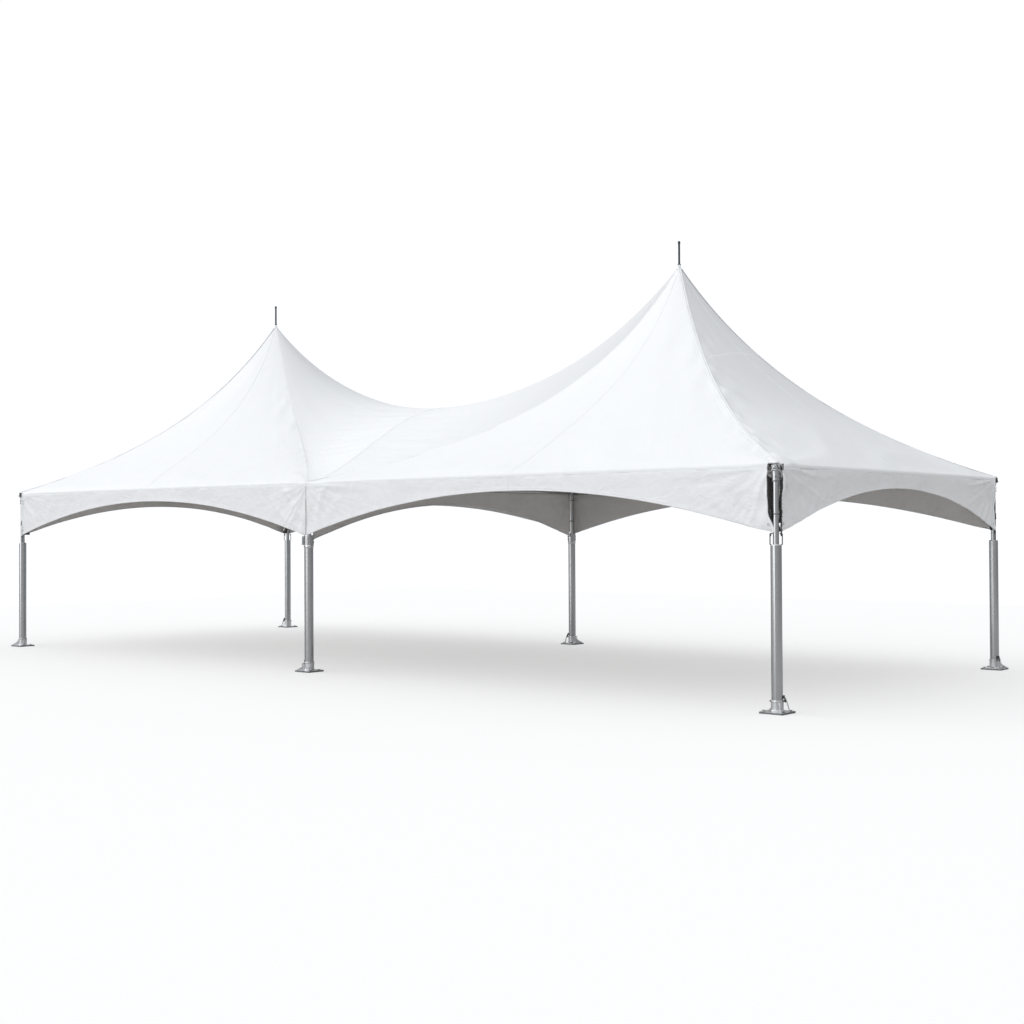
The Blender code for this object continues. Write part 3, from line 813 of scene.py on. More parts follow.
def fan_rows(fan, side, t):
    """A fan's rows of points from the ring down, and how far down each lies."""
    shares = RING_SHARE + (ROLL_SHARE - RING_SHARE) * np.linspace(0, 1, ROOF_ROWS + 1) ** 1.35
    rows = [roof_surface(fan, side, s, t) for s in shares]
    if fan == "inner":
        last = roof_surface(fan, side, 1.0, t)
        for k, partner in ((0, "front"), (-1, "back")):
            last[k] = lip_rows(partner, side, np.array([1.0]), LIP_ROWS)[0][0]
        last[:, 0] = 0.0
        return [*rows, last], [*shares, 1.0]
    lip = lip_rows(fan, side, t, LIP_ROWS)
    if fan != "end":
        for points in lip:
            points[-1, 0] = 0.0
    return rows + lip, [*shares, *(1.0 + 0.004 * k for k in range(1, LIP_ROWS + 1))]


def make_roof_cloth():
    """The whole roof as one sheet, white outside and grey inside."""
    bm = bmesh.new()
    for side in (-1, 1):
        for number, fan in enumerate(FANS):
            t = columns_of(fan)
            rows, marks = fan_rows(fan, side, t)
            first = number + 4 * (side > 0)
            corners = DOWN_FIRST[::-1] if (fan in ("front", "inner")) == (side > 0) else DOWN_FIRST
            join_rows(bm, rows, corners, lambda i, j: (t[j] + first, marks[i]))
    bmesh.ops.remove_doubles(bm, verts=bm.verts, dist=2e-4)
    bmesh.ops.dissolve_degenerate(bm, edges=bm.edges, dist=1e-5)
    cloth = give_wall(object_from("roof_cloth", bm, ("roof", "roof_inside")), ROOF_THICK, -1.0)
    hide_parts("roof_membrane")
    return keep_piece(cloth)


def surface_normals(fan, side, s, t):
    """The roof's unit normals, upwards."""
    step = 2e-3
    down = roof_surface(fan, side, np.clip(s + step, 0, 1), t)
    down = down - roof_surface(fan, side, np.clip(s - step, RING_SHARE, 1), t)
    over = roof_surface(fan, side, s, np.clip(t + step, 0, 1))
    over = over - roof_surface(fan, side, s, np.clip(t - step, 0, 1))
    normal = unit(np.cross(down, over))
    return normal * np.where(normal[:, 2:] < 0, -1, 1)


WELT_PROFILE = (
    (-0.018, -0.003), (-0.017, 0.003), (-0.011, 0.0065), (-0.004, 0.0045), (0.0, 0.0015),
    (0.004, 0.0045), (0.011, 0.0065), (0.017, 0.003), (0.018, -0.003),
)
SEAM_PROFILE = (
    (-0.014, -0.002), (-0.0135, 0.0012), (-0.009, 0.0022), (0.008, 0.0026), (0.013, 0.0012), (0.014, -0.002),
)
JOINT_PROFILE = (-0.004, -0.001), (-0.004, 0.0012), (0.004, 0.0012), (0.004, -0.001)


def make_hip_welts():
    """The doubled, raised seams along the eight hips."""
    s = np.linspace(RING_SHARE, ROLL_SHARE, 90)
    for label, side in SIDE_SIGN.items():
        bm = bmesh.new()
        for fan, t, partner, other, slim in (
            ("front", 0.0, "end", 0.0, 1.0), ("back", 0.0, "end", 1.0, 1.0),
            ("front", 1.0, "inner", 0.0, 0.75), ("back", 1.0, "inner", 1.0, 0.75),
        ):
            normals = unit(surface_normals(fan, side, s, t) + surface_normals(partner, side, s, other))
            swept(bm, roof_surface(fan, side, s, t), normals, scaled(WELT_PROFILE, slim, slim))
        keep_shape(f"hip_welts_{label}", bm, "welt")


def make_roof_seams():
    """The flat welded seams: down the middle of each face, across each end face and over the saddle."""
    down = np.linspace(0.02, ROLL_SHARE, 80)
    ring = ("end", SEAM_RING_SHARE, np.linspace(0.02, 0.98, 40), 0.35)
    for label, side in SIDE_SIGN.items():
        bm = bmesh.new()
        for fan, s, t, low in (*((fan, down, 0.5, 1.0) for fan in ("front", "end", "back")), ring):
            normals = surface_normals(fan, side, s, t)
            swept(bm, roof_surface(fan, side, s, t), normals, scaled(SEAM_PROFILE, 1.0, low))
        keep_shape(f"face_seams_{label}", bm, "seam")
    bm = bmesh.new()
    t = np.linspace(0.004, 0.996, 120)
    points, normals = roof_surface("inner", 1, 1.0, t), surface_normals("inner", 1, 1.0, t)
    points[:, 0] = normals[:, 0] = 0.0
    swept(bm, points, unit(normals), SEAM_PROFILE)
    keep_shape("saddle_seam", bm, "seam")


# Valances

class Valance(namedtuple("Strip", "name start end out legs top hems seed slit_ends tip_shift sway_seed")):
    """One hanging strip: where its cloth is, at a distance along it and a share of the way down."""

    @property
    def length(self):
        return float(np.linalg.norm(self.end - self.start))

    @property
    def along(self):
        return (self.end - self.start) / self.length

    def hem(self, place):
        at_leg, at_middle = self.hems
        u = 2 * (place - self.legs[0]) / (self.legs[1] - self.legs[0]) - 1
        return at_middle - (at_middle - at_leg) * u * u

    def folds(self, place, depth):
        """How far the cloth stands out from flat: broad sway, ticks at the eave, folds at the ends."""
        seed = self.seed
        slant = np.where(place < self.length / 2, 1.0, -1.0)
        near = np.minimum(place, self.length - place)
        out = 0.012 * soft_noise(place * 0.8 + seed, seed) * smooth_step(depth / 0.30)
        out = out + 0.008 * soft_noise(place * 2.0 + seed, depth * 0.8, seed) * smooth_step(depth / 0.15)
        tick = creases((place + slant * depth * 0.7) * 3.4 + seed, seed)
        tick = tick * smooth_step(soft_noise(place * 1.7 - seed, 2 * seed) * 4 + 0.6)
        out = out + 0.0045 * tick * smooth_step(depth / 0.025) * (1 - smooth_step((depth - 0.05) / 0.12))
        dent = soft_noise(place * 2.4 + seed, depth * 2.6 + seed, seed)
        fold = creases((place + slant * depth * 0.9) * 2.7 + seed, (depth - slant * place * 0.5) * 1.2, seed)
        small = creases(place * 7.0 - slant * depth * 4.0 + seed, depth * 4.0 + seed, 2 * seed)
        corner = np.exp(-(near / 0.60) ** 2) * smooth_step(depth / 0.10)
        out = out + corner * (0.021 * dent + 0.013 * (fold - 0.25) + 0.005 * small)
        away = np.hypot(near, depth)
        lean = np.arctan2(depth, near + 0.02)
        spokes = creases(lean * 3.2 + seed, away * 0.9 + seed, 3 * seed)
        spokes = spokes + 0.6 * creases(lean * 7.5 - seed, away * 1.6, seed) - 0.3
        strength = 0.013 if any(self.slit_ends) else 0.010
        return out + strength * spokes * smooth_step(away / 0.12) * np.exp(-(away / 0.75) ** 2)

    def points(self, place, share, proud=0.0):
        place, share = np.broadcast_arrays(np.asarray(place, float), np.asarray(share, float))
        drop = self.top - self.hem(place)
        depth = share * drop
        z = self.top - depth
        out = self.folds(place, depth)
        tucked, shift = np.zeros_like(out), np.zeros_like(out)
        for from_end, way, slit in zip((place, self.length - place), (-1.0, 1.0), self.slit_ends):
            if slit:
                close = 1 - smooth_step(from_end / 0.22)
                shift = shift + way * self.tip_shift * smooth_step((1.86 - z) / 0.20) * close
                tucked = tucked - 0.4 * self.tip_shift * smooth_step((1.80 - z) / 0.14) * close ** 2
                out = out * (1 - 0.7 * close * smooth_step((z - 2.2) / 0.05))
            else:
                out = out * smooth_step((from_end + 0.01) / 0.06)
        out = out + 0.0016 * smooth_step((depth - (drop - HEM_BAND)) / 0.003)
        if self.sway_seed is not None:
            world = self.start @ np.abs(self.along) + place * (self.along @ np.abs(self.along))
            out = out + eave_sway(self.sway_seed, world) * (1 - smooth_step(depth / 0.12)) - 0.0001
        flat = self.start + self.along * (place + shift)[..., None]
        flat = flat + self.out * (out + tucked + proud)[..., None]
        flat[..., 2] = z
        return flat

    def edge(self, at_start):
        """The side edge from the hem's tip up to the eave."""
        return self.points(0.0 if at_start else self.length, np.linspace(1, 0, 40))


def plan(x, y):
    return np.array([x, y, 0.0])


def all_valances():
    """The four strips of the long sides, those of the ends and the inner one."""
    made = []
    reach = HALF_LENGTH - CORNER_SLIT
    for row, y in ROW_SIGN.items():
        for column, way in SIDE_SIGN.items():
            made.append(Valance(
                f"{row}_{column}", plan(0, y * HALF_DEPTH), plan(way * reach, y * HALF_DEPTH), plan(0, y),
                (0.0, BAY_LENGTH), VALANCE_TOP, OUTER_HEMS, 7.3 + 3.1 * y + 1.7 * way,
                (False, True), LONG_TIP_SHIFT, FAN_SEED[row] + way,
            ))
    reach = HALF_DEPTH - CORNER_SLIT
    first_leg = EAVE_REACH - CORNER_SLIT
    legs = (first_leg, first_leg + DEPTH)
    for column, way in SIDE_SIGN.items():
        x = way * HALF_LENGTH
        made.append(Valance(
            f"{column}_end", plan(x, -reach), plan(x, reach), plan(way, 0), legs, VALANCE_TOP, OUTER_HEMS,
            19.4 + 2.3 * way, (True, True), END_TIP_SHIFT, FAN_SEED["end"] + way,
        ))
    reach = LEG_Y - INNER_SLIT
    legs = (-INNER_SLIT, DEPTH - INNER_SLIT)
    made.append(Valance(
        "middle", plan(0, -reach), plan(0, reach), plan(1, 0), legs, INNER_VALANCE_TOP, INNER_HEMS,
        31.0, (False, False), 0.0, None,
    ))
    return made


def make_valance_cloth(valance):
    bm = bmesh.new()
    even = np.linspace(-1, 1, VALANCE_COLUMNS + 1)
    place = valance.length * 0.5 * (1 + 0.72 * even + 0.28 * np.sin(even * math.pi / 2))
    down = np.linspace(0, 1, VALANCE_ROWS + 1)
    share = down * 0.75 + 0.25 * smooth_step(down)
    grid = valance.points(place[None, :], share[:, None])
    inwards = np.cross(valance.along, [0, 0, -1]) @ valance.out < 0
    corners = ALONG_FIRST[::-1] if inwards else ALONG_FIRST
    join_rows(bm, grid, corners, lambda i, j: (place[j] + valance.seed, grid[i][j][2]))
    outside = "valance_inside" if valance.name == "middle" else "valance"
    cloth = object_from(f"valance_cloth_{valance.name}", bm, (outside, "valance_inside"))
    give_wall(cloth, VALANCE_THICK, -1.0)
    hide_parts(f"valance_{valance.name}")
    return keep_piece(cloth)


def make_hem_rope(valance):
    """The white piping along the arched hem."""
    path = valance.points(valance.length * np.linspace(0, 1, 240), 1.0, 0.001)
    return tubes(f"hem_rope_{valance.name}", [path], ROPE_RADIUS, "piping")


def make_shade_flap(name, valance, at_start, inward, depth, low):
    """A near-black flap folded in behind one side of a corner slit, painted shade for the slit's dark inside."""
    edge = valance.edge(at_start)
    edge = edge[edge[:, 2] > low]
    under_tube = 0.10 + 0.90 * smooth_step((2.20 - edge[:, 2]) / 0.05)
    way = -valance.along if at_start else valance.along
    rows = [
        edge + np.array(inward) * (depth * k / 6 * under_tube)[:, None] + way * 0.004 * math.sin(k * 1.1)
        for k in range(7)
    ]
    bm = bmesh.new()
    join_rows(bm, rows, DOWN_FIRST)
    return keep_piece(give_wall(object_from(name, bm, ("lining",)), 0.0015, 0.0))


def make_valance_shade_flaps(valance):
    """The painted-shade flaps on one valance's free side edges."""
    name = f"slit_lining_{valance.name}"
    first, _, second = valance.name.partition("_")
    if second == "end":
        inward = (-SIDE_SIGN[first], 0, 0)
        return [
            make_shade_flap(f"{name}_{row}", valance, row == "front", inward, 0.030, 1.74) for row in ROW_SIGN
        ]
    if second:
        return [make_shade_flap(name, valance, False, (0, -ROW_SIGN[first], 0), 0.13, 0.0)]
    return []


def corner_binding(row, column, valances):
    """White binding up one side of a corner slit, over its top and down the other side."""
    side = SIDE_SIGN[column]
    near = np.linspace(CORNER_SLIT - 0.0005, 0.0, 16)
    over_long = lip_rows(row, side, near / fan_span(row), 1)[0]
    end_t = near[::-1] / fan_span("end")
    over_end = lip_rows("end", side, end_t if row == "front" else 1 - end_t, 1)[0]
    up, down = valances[f"{row}_{column}"].edge(False), valances[f"{column}_end"].edge(row == "front")[::-1]
    up, down = ([p for p in edge if p[2] < LIP_BOTTOM - 0.004] for edge in (up, down))
    return [*up, *over_long, *over_end[1:], *down]


def make_bindings(valances):
    for column in SIDE_SIGN:
        paths = [corner_binding(row, column, valances) for row in ROW_SIGN]
        tubes(f"slit_binding_{column}", paths, BINDING_RADIUS, "rope", 10)


def make_valance_seams(outer):
    """Vertical seams: a welded one at the middle of each valance, and where two meet a grey joint strip, painted
    shade for the dark line between them.
    """
    seams, joints = bmesh.new(), bmesh.new()
    share = np.linspace(0.03, 0.985, 30)
    for valance in outer:
        lines = [(seams, sum(valance.legs) / 2, SEAM_PROFILE)]
        if not valance.name.endswith("end"):
            lines.append((seams, 0.017, scaled(SEAM_PROFILE, 0.7, 1.0)))
        if valance.name.endswith("right"):
            lines.append((joints, 0.0, JOINT_PROFILE))
        for bm, place, profile in lines:
            swept(bm, valance.points(place, share), np.tile(valance.out, (len(share), 1)), profile)
    keep_shape("valance_joints", joints, "joint")
    keep_shape("valance_seams", seams, "seam")


def make_eyelets(outer):
    """Metal eyelets in the tips of the valances."""
    places = []
    for valance in outer:
        for place, slit in zip((0.028, valance.length - 0.028), valance.slit_ends):
            if slit:
                places.append((valance.points(place, [0.90], 0.0015)[0], valance.out))
    repeats("tip_eyelets", "eyelets", places, 0.020, 0.004)


# Fittings

class Leg(namedtuple("Stand", "label x y along across corner")):
    """One leg: its place in plan and the ways out of the tent from it, along the tent and across it."""

    @property
    def foot(self):
        return Vector((self.x, self.y, 0))


LEGS = [
    Leg(
        f"{row}_{column}", x, y * LEG_Y, Vector((SIDE_SIGN.get(column, 0), 0, 0)), Vector((0, y, 0)),
        column in SIDE_SIGN,
    )
    for column, x in COLUMN_X.items() for row, y in ROW_SIGN.items()
]
CORNERS = [leg for leg in LEGS if leg.corner]

KNUCKLE_HOLLOW = (0.0, 2.2855), (0.0362, 2.2855), (0.0362, 2.224)
KNUCKLE_DOME = (
    (0.0385, 2.229), (0.040, 2.236), (0.040, 2.262), (0.0385, 2.276), (0.035, 2.286), (0.028, 2.293),
    (0.016, 2.297), (0.0, 2.2975),
)
SLEEVE_RINGS = (
    ((0.0362, 2.131), (0.0395, 2.131), (0.0402, 2.133), (0.0402, 2.142), (0.0395, 2.144), (0.0362, 2.144)),
    ((0.0287, 1.824), (0.0305, 1.824), (0.0312, 1.827), (0.0312, 1.836), (0.0305, 1.839), (0.0287, 1.839)),
)
COLLAR_RING = (
    (0.0002, 1.500), (0.0035, 1.500), (0.0045, 1.502), (0.0045, 1.5265), (0.0035, 1.529), (0.0002, 1.529),
)
LUG_PATH = (
    (0.020, 0.000, 2.2985, 0.96), (0.034, 0.006, 2.2935, 0.8), (0.045, 0.014, 2.284, 0.5),
    (0.0495, 0.022, 2.268, 0.15), (0.0475, 0.028, 2.245, 0.0),
)
LUG_PROFILE = (
    (-0.0075, -0.002), (-0.0075, 0.0015), (-0.006, 0.0025), (0.006, 0.0025), (0.0075, 0.0015), (0.0075, -0.002),
)
BUCKLE_BLOCKS = (
    (0.053, 1.838, (0.010, 0.022, 0.070)), (0.060, 1.852, (0.006, 0.016, 0.030)),
    (0.050, 1.640, (0.008, 0.018, 0.026)),
)
STRAP_PATHS = (
    ((0.0535, 0.13), (0.0545, 0.20), (0.0545, 1.45), (0.060, 1.52), (0.064, 1.58)),
    ((0.061, 1.60), (0.056, 1.66), (0.044, 1.74), (0.040, 1.95), (0.038, 2.12)),
)
STRAP_PROFILE = (-0.0125, -0.001), (-0.0125, 0.001), (0.0125, 0.001), (0.0125, -0.001)
RATCHET_HEIGHT = 1.585
RATCHET_BLOCKS = (
    (0.072, -0.019, 0.0, (0.022, 0.003, 0.105)), (0.072, 0.019, 0.0, (0.022, 0.003, 0.105)),
    (0.068, 0.0, -0.020, (0.006, 0.036, 0.030)), (0.080, 0.0, 0.038, (0.006, 0.044, 0.022)),
)
SOCKET_RIM = (
    (-0.0005, 0.102), (0.0020, 0.102), (0.0026, 0.104), (0.0026, 0.118), (0.0015, 0.1205), (-0.0063, 0.1205),
    (-0.0063, 0.1185), (-0.0005, 0.1185),
)
SOCKET_FLARE = (
    (-0.0005, PLATE_THICK), (0.0120, PLATE_THICK), (0.0115, 0.0205), (0.0070, 0.0225), (0.0035, 0.0255),
    (0.0015, 0.0300), (-0.0005, 0.0340),
)
PIN_HEAD = (
    (0, -0.014), (0.011, -0.014), (0.013, -0.011), (0.013, 0.0), (0.0070, 0.002), (0.0070, 0.016), (0, 0.016),
)
PIN_BLOCKS = (0.060, 0.150, (0.020, 0.034, 0.030)), (0.071, 0.128, (0.018, 0.024, 0.034))
BENT_ROD = (0.070, 0.140), (0.080, 0.132), (0.094, 0.085), (0.105, 0.040), (0.110, 0.026), (0.110, 0.017)
HUB_RINGS = tuple(
    ((0.0602, low), (0.0635, low), (0.0645, low + 0.002), (0.0635, low + 0.006), (0.0602, low + 0.006))
    for low in (2.204, 2.250)
)
HUB_CAP = (0.0302, 2.2605), (0.052, 2.2605), (0.050, 2.268), (0.036, 2.276), (0.0325, 2.300), (0.0302, 2.302)
PEAK_COLLAR = (
    (0.034, 4.742), (0.031, 4.765), (0.0245, 4.790), (0.0205, 4.812), (0.0188, 4.838), (0.0172, 4.842),
    (0.0130, 4.842), (0.0130, 4.790), (0.0285, 4.742),
)
SPIKE_FLANGE = (
    (0.0128, 4.8425), (0.0200, 4.8425), (0.0210, 4.846), (0.0200, 4.850), (0.0150, 4.853), (0.0128, 4.862),
)
SPIKE_TIP = (
    (0.0, 5.1265), (0.0105, 5.1255), (0.0145, 5.121), (0.0156, 5.114), (0.0156, 5.097), (0.0150, 5.094),
    (0.0128, 5.094), (0.0128, 5.1222), (0.0, 5.1222),
)
BARREL = (0.0062, 0.0), (0.0105, 0.004), (0.0120, 0.010), (0.0120, 0.150), (0.0105, 0.156), (0.0062, 0.160)
FORK = (0.0062, 0.0), (0.0135, 0.0), (0.0150, 0.004), (0.0150, 0.040), (0.0110, 0.060), (0.0062, 0.062)


def beside(foot, way, out, height):
    """The point that is so far out from a leg's axis, at a height."""
    return foot + way * out + Vector((0, 0, height))


def sideways(way):
    return Vector((-way.y, way.x, 0))


def make_crown_fittings():
    """Knuckle over each crown, rim on its sleeve, joint ring on the inner tube and the leg's top rings."""
    for leg in LEGS:
        wide, sides = (1.22, 6) if leg.corner else (1.0, 32)
        knuckle = [*KNUCKLE_HOLLOW, *((r * wide, z) for r, z in KNUCKLE_DOME)]
        keep_turned(f"knuckle_{leg.label}", "knuckle", [knuckle], sides, leg.foot, 50)
        keep_turned(f"sleeve_rings_{leg.label}", "ring", SLEEVE_RINGS, 32, leg.foot)
        top, reach = (LEG_TOP, LEG_RADIUS) if leg.corner else (COLLAR_TOP, COLLAR_RADIUS)
        rings = [[
            (0.030, top + 0.0002), (reach - 0.0025, top + 0.0002), (reach - 0.0005, top + 0.002),
            (reach - 0.0005, top + 0.007), (reach - 0.004, top + 0.011), (0.033, top + 0.012),
        ]]
        if not leg.corner:
            rings.append([(LEG_RADIUS + r, z) for r, z in COLLAR_RING])
        keep_turned(f"leg_rings_{leg.label}", "collar", rings, 32, leg.foot)


def make_corner_shade_cups():
    """A dark cup behind each corner's knuckle, open to the outside, painted shade for the gap round the knuckle.
    """
    for leg in CORNERS:
        facing = math.atan2(leg.across.y, leg.along.x)
        angles = [facing + math.radians(a) for a in np.linspace(66, 294, 20)]
        rim = [(leg.x + CUP_RADIUS * math.cos(a), leg.y + CUP_RADIUS * math.sin(a)) for a in angles]
        bm = bmesh.new()
        join_rows(bm, [[(*p, z) for p in rim] for z in CUP_HEIGHTS], ALONG_FIRST)
        cup = object_from(f"corner_cup_{leg.label}", bm, ("lining",), 60)
        keep_piece(give_wall(cup, 0.002, 0.0))


def make_corner_lugs():
    """Two bright straps over each corner knuckle, each bolted down on the side of its eave tube."""
    bolts = []
    for leg in CORNERS:
        front = (leg.along + leg.across).normalized()
        bm = bmesh.new()
        for way in (leg.along - leg.across, leg.across - leg.along):
            way = way.normalized()
            path = [beside(leg.foot, front, out, z) + way * over for out, over, z, _ in LUG_PATH]
            normals = [beside(front, way * over, 12, lift * 1.6).normalized() for _, over, _, lift in LUG_PATH]
            swept(bm, path, normals, LUG_PROFILE)
            bolts.append((beside(path[-1], normals[-1], 0.002, 0.007), normals[-1]))
        keep_shape(f"corner_lugs_{leg.label}", bm, "zinc", 45)
    repeats("lug_bolts", "bolts", bolts, 0.011, 0.005)


def make_crown_bolts():
    """Bolts through the sleeves, the collars and the ends of the eave tubes."""
    places = []
    for leg in LEGS:
        rings = [(SLEEVE_RADIUS, 2.175)]
        if not leg.corner:
            rings += [(COLLAR_RADIUS, 1.605), (COLLAR_RADIUS, 1.565)]
        for angle in map(math.radians, (40, 130, 220, 310)):
            way = (math.cos(angle), math.sin(angle), 0)
            places += [((leg.x + way[0] * radius, leg.y + way[1] * radius, z), way) for radius, z in rings]
    offsets = (0.09, 0.15)
    for y in ROW_SIGN.values():
        face = y * (LEG_Y - EAVE_RADIUS)
        for x, way in ((-BAY_LENGTH, 1), (0.0, -1), (0.0, 1), (BAY_LENGTH, -1)):
            places += [((x + way * offset, face, EAVE_AXIS_HEIGHT), (0, -y, 0)) for offset in offsets]
    for x in COLUMN_X.values():
        way = 1.0 if x <= 0 else -1.0
        face = x + way * EAVE_RADIUS
        for y in ROW_SIGN.values():
            places += [((face, y * (LEG_Y - offset), EAVE_AXIS_HEIGHT), (way, 0, 0)) for offset in offsets]
    repeats("crown_bolts", "bolts", places, 0.014, 0.006)


def tip_rod(spread):
    """A U rod's (out, height) points, with rounded corners."""
    low, high = LEG_TOP + 0.006, 1.655
    bend = [(0.010 * math.cos(math.radians(a)), 0.010 * math.sin(math.radians(a))) for a in range(-90, 91, 18)]
    corners = [(x, low + 0.012 + y) for x, y in bend[:6]] + [(x, high - 0.012 + y) for x, y in bend[5:]]
    return [(spread - 0.018, low), *((spread - 0.008 + x, z) for x, z in corners), (spread - 0.022, high)]


def make_corner_ties():
    """At the corner legs, a chain and a U rod for each valance's tip."""
    hung = [(0.042 + 0.008 * min(k, 6) / 6, 2.205 - k * CHAIN_STEP) for k in range(18)]
    loose = [(0.052, 1.795 - k * CHAIN_STEP) for k in range(9)]
    for leg in CORNERS:
        away = (leg.along - leg.across).normalized()
        bm = bmesh.new()
        rods = []
        for way, spread in ((away, 0.058), (-away, 0.054)):
            rods.append([beside(leg.foot, way, *p) for p in tip_rod(spread)])
            for out, z, size in BUCKLE_BLOCKS:
                block(bm, beside(leg.foot, way, out, z), size, math.atan2(way.y, way.x))
            pin = [(0, -0.012), (0.006, -0.012), (0.006, 0.012), (0, 0.012)]
            turned(bm, pin, 12, beside(leg.foot, way, 0.056, 1.812), sideways(way))
        keep_shape(f"tie_buckles_{leg.label}", bm, "dark_steel")
        name = f"tie_chain_{leg.label}"
        links = chains_mesh(name, [[beside(leg.foot, away, *p) for p in path] for path in (hung, loose)])
        grow(name, links, "chain", "dark_steel", {"Link": 0.030, "Wire": 0.0055})
        tubes(f"tip_rods_{leg.label}", rods, 0.0056, "rod")


def make_middle_straps():
    """At the middle legs, a ratchet and a strap down to a hook at the foot."""
    curl = [math.radians(240 - 25 * k) for k in range(13)]
    hook = [(0.057, 0.145), (0.064, 0.110)]
    hook += [(0.075 + 0.012 * math.cos(a), 0.085 + 0.012 * math.sin(a)) for a in curl]
    for row, y in ROW_SIGN.items():
        foot = Vector((0.0, y * LEG_Y, 0.0))
        out = Vector((-0.74, y * 0.67, 0.0)).normalized()
        over, turn = sideways(out), math.atan2(out.y, out.x)
        bm = bmesh.new()
        for path in STRAP_PATHS:
            swept(bm, [beside(foot, out, *p) for p in path], [out] * len(path), STRAP_PROFILE)
        keep_shape(f"tie_strap_{row}_middle", bm, "pale_strap")
        bm = bmesh.new()
        middle = beside(foot, out, 0, RATCHET_HEIGHT)
        for reach, offset, lift, size in RATCHET_BLOCKS:
            block(bm, beside(middle, out, reach, lift) + over * offset, size, turn)
        axle = [(0, -0.024), (0.009, -0.024), (0.009, 0.024), (0, 0.024)]
        turned(bm, axle, 14, beside(middle, out, 0.072, 0), over)
        keep_shape(f"ratchet_{row}_middle", bm, "zinc")
        tubes(f"strap_hook_{row}_middle", [[beside(foot, out, *p) for p in hook]], 0.004, "dark_steel")


def make_foot_fittings():
    """Socket rims, anchor bolts in the plates, and a pin with its bent rod on each socket."""
    bolts = []
    for leg in LEGS:
        rims = [[(SOCKET_RADIUS + r, z) for r, z in profile] for profile in (SOCKET_RIM, SOCKET_FLARE)]
        keep_turned(f"socket_rim_{leg.label}", "bright_cast", rims, 36, leg.foot)
        corners = [(x, y, PLATE_THICK) for x in (-0.104, 0.104) for y in (-0.066, 0.066)]
        bolts += [(leg.foot + Vector(corner), (0, 0, 1)) for corner in corners]
        across = Vector((1.0 if leg.along.x > 0 else -1.0, -0.55 * leg.across.y, 0.0)).normalized()
        bm = bmesh.new()
        for way, reach, size in ((-across, 0.062, 0.5), (across, 0.070, 1.0)):
            turned(bm, scaled(PIN_HEAD, size, -size), 14, beside(leg.foot, way, reach, 0.112), way)
        for out, z, size in PIN_BLOCKS:
            block(bm, beside(leg.foot, across, out, z), size, math.atan2(across.y, across.x), 0.004)
        keep_shape(f"socket_pin_{leg.label}", bm, "dark_steel")
        over = sideways(across)
        rods = [
            [beside(leg.foot, across, *p) + over * (top + (low - top) * k / 5) for k, p in enumerate(BENT_ROD)]
            for top, low in ((-0.012, -0.038), (0.012, 0.020))
        ]
        tubes(f"pin_rods_{leg.label}", rods, 0.0042, "zinc")
    repeats("plate_bolts", "bolts", bolts, 0.026, 0.012)


def make_mast_fittings():
    """Hub rings, peak collars, spike flanges and spike tips."""
    for label, side in SIDE_SIGN.items():
        for name, finish, slot, profiles, sides, degrees in (
            ("hub_rings", "collar", "mast", (*HUB_RINGS, HUB_CAP), 32, 45),
            ("peak_collar", "welt", "membrane", (PEAK_COLLAR,), 28, 60),
            ("spike_flange", "spike", "spike", (SPIKE_FLANGE,), 24, 45),
            ("spike_tip", "spike", "spike", (SPIKE_TIP,), 20, 45),
        ):
            keep_turned(f"{name}_{label}", finish, profiles, sides, (side * PEAK_X, 0, 0), degrees)


def make_cable_fittings():
    """A turnbuckle and a fork at each cable's crown end, and a fork at the hub."""
    for label, side in SIDE_SIGN.items():
        hub = Vector((side * PEAK_X, 0.0, 2.230))
        for row, y in ROW_SIGN.items():
            for place, x in (("inner", 0.0), ("outer", side * BAY_LENGTH)):
                crown = Vector((x, y * LEG_Y, 2.215))
                along = (hub - crown).normalized()
                bm = bmesh.new()
                turned(bm, BARREL, 14, crown + along * 0.135, along)
                turned(bm, FORK, 14, crown + along * 0.052, along)
                turned(bm, FORK, 14, hub - along * 0.068, -along)
                keep_shape(f"cable_ends_{label}_{row}_{place}", bm, "zinc", 45)


# Stage, light and camera

def make_floor():
    bm = bmesh.new()
    bmesh.ops.create_grid(bm, x_segments=1, y_segments=1, size=FLOOR_REACH)
    mesh = bpy.data.meshes.new("floor")
    bm.to_mesh(mesh)
    bm.free()
    material = bpy.data.materials.new("pale_floor")
    material.use_nodes = True
    nodes = material.node_tree.nodes
    graph = Graph(material.node_tree)
    nodes.remove(nodes["Principled BSDF"])
    lit = graph.node("ShaderNodeBsdfDiffuse", {}, {"Color": tone(*FLOOR_TONE)})
    seen = graph.node("ShaderNodeLightPath", output="Is Camera Ray")
    glow = graph.node("ShaderNodeEmission", {}, {"Color": tone(1.0), "Strength": seen * FLOOR_LIFT})
    both = graph.node("ShaderNodeAddShader", {}, {0: lit, 1: glow})
    graph.feed(nodes["Material Output"].inputs["Surface"], both)
    mesh.materials.append(material)
    add_object("floor", mesh)


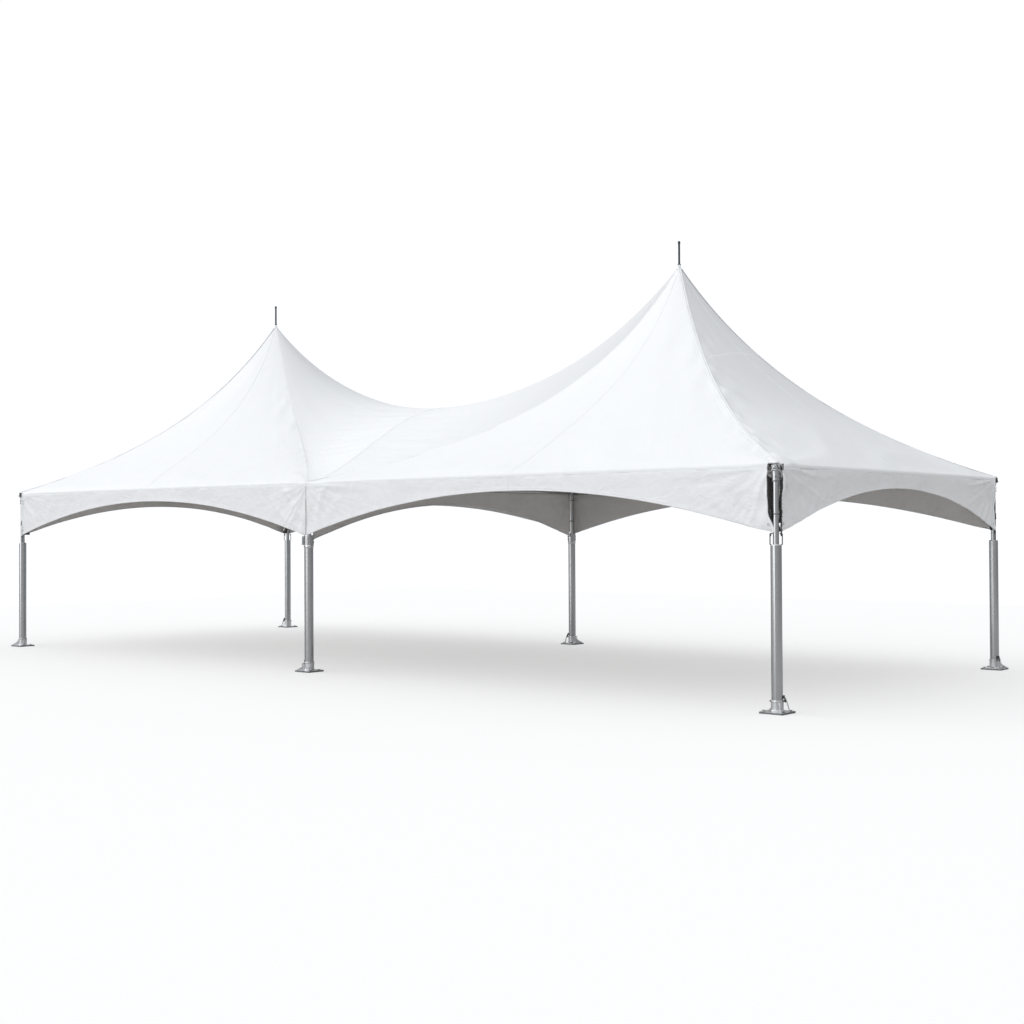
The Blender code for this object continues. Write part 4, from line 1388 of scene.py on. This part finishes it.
def make_light():
    """A pale dome with a dark rim and a bright strip at the front left, and one broad key."""
    world = bpy.data.worlds.new("studio")
    bpy.context.scene.world = world
    world.use_nodes = True
    graph = Graph(world.node_tree)
    backdrop = world.node_tree.nodes["Background"]
    way = graph.node("ShaderNodeTexCoord", output="Generated")
    height = graph.part(way, 2).math("MAXIMUM", 0.0)
    lean, strip = (
        graph.node("ShaderNodeVectorMath", {"operation": "DOT_PRODUCT"}, {0: way, 1: toward}, 1)
        for toward in (SKY_LEAN, tuple(STRIP_FROM))
    )
    rim = 1 - RING_DARK + height.step(0.0, RING_TOP) * RING_DARK
    dome = (SKY_LOW + height * height * SKY_GAIN) * (1 + lean) * rim
    dome = dome + (strip.math("MAXIMUM", 0.0) ** STRIP_POWER) * STRIP_STRENGTH
    seen = graph.node("ShaderNodeLightPath", output="Is Camera Ray")
    graph.feed(backdrop.inputs["Strength"], dome * (1 - seen) + seen * BACKDROP_STRENGTH)
    backdrop.inputs["Color"].default_value = tone(*SKY_TONE)
    key = bpy.data.lights.new("key", "SUN")
    key.energy = KEY_STRENGTH
    key.color = KEY_TONE
    key.angle = math.radians(KEY_SPREAD_DEGREES)
    add_object("key", key).rotation_euler = KEY_FROM.to_track_quat("Z", "Y").to_euler()


def make_camera():
    lens = bpy.data.cameras.new("view")
    lens.sensor_fit = "HORIZONTAL"
    lens.sensor_width = SENSOR_WIDTH
    lens.lens = FOCAL_SHARE * SENSOR_WIDTH
    lens.clip_end = 500.0
    camera = add_object("view", lens)
    yaw = Matrix.Rotation(math.radians(CAMERA_YAW), 4, "Z")
    pitch = Matrix.Rotation(math.radians(90 + CAMERA_PITCH), 4, "X")
    roll = Matrix.Rotation(math.radians(CAMERA_ROLL), 4, "Z")
    camera.matrix_world = Matrix.Translation(CAMERA_PLACE) @ yaw @ pitch @ roll
    bpy.context.scene.camera = camera
    bpy.context.scene.view_settings.view_transform = "Standard"


def main():
    make_camera()
    make_light()
    make_floor()
    finish_nodes()
    roof = make_roof_cloth()
    make_hip_welts()
    make_roof_seams()
    valances = {valance.name: valance for valance in all_valances()}
    for name, valance in valances.items():
        cloth = make_valance_cloth(valance)
        with_cloth = [make_hem_rope(valance), *make_valance_shade_flaps(valance)]
        "eave_middle" if name == "middle" else "roof_cloth"
    outer = [valance for name, valance in valances.items() if name != "middle"]
    make_bindings(valances)
    make_valance_seams(outer)
    make_eyelets(outer)
    make_crown_fittings()
    make_corner_shade_cups()
    make_corner_lugs()
    make_crown_bolts()
    make_corner_ties()
    make_middle_straps()
    make_foot_fittings()
    make_mast_fittings()
    make_cable_fittings()


main()
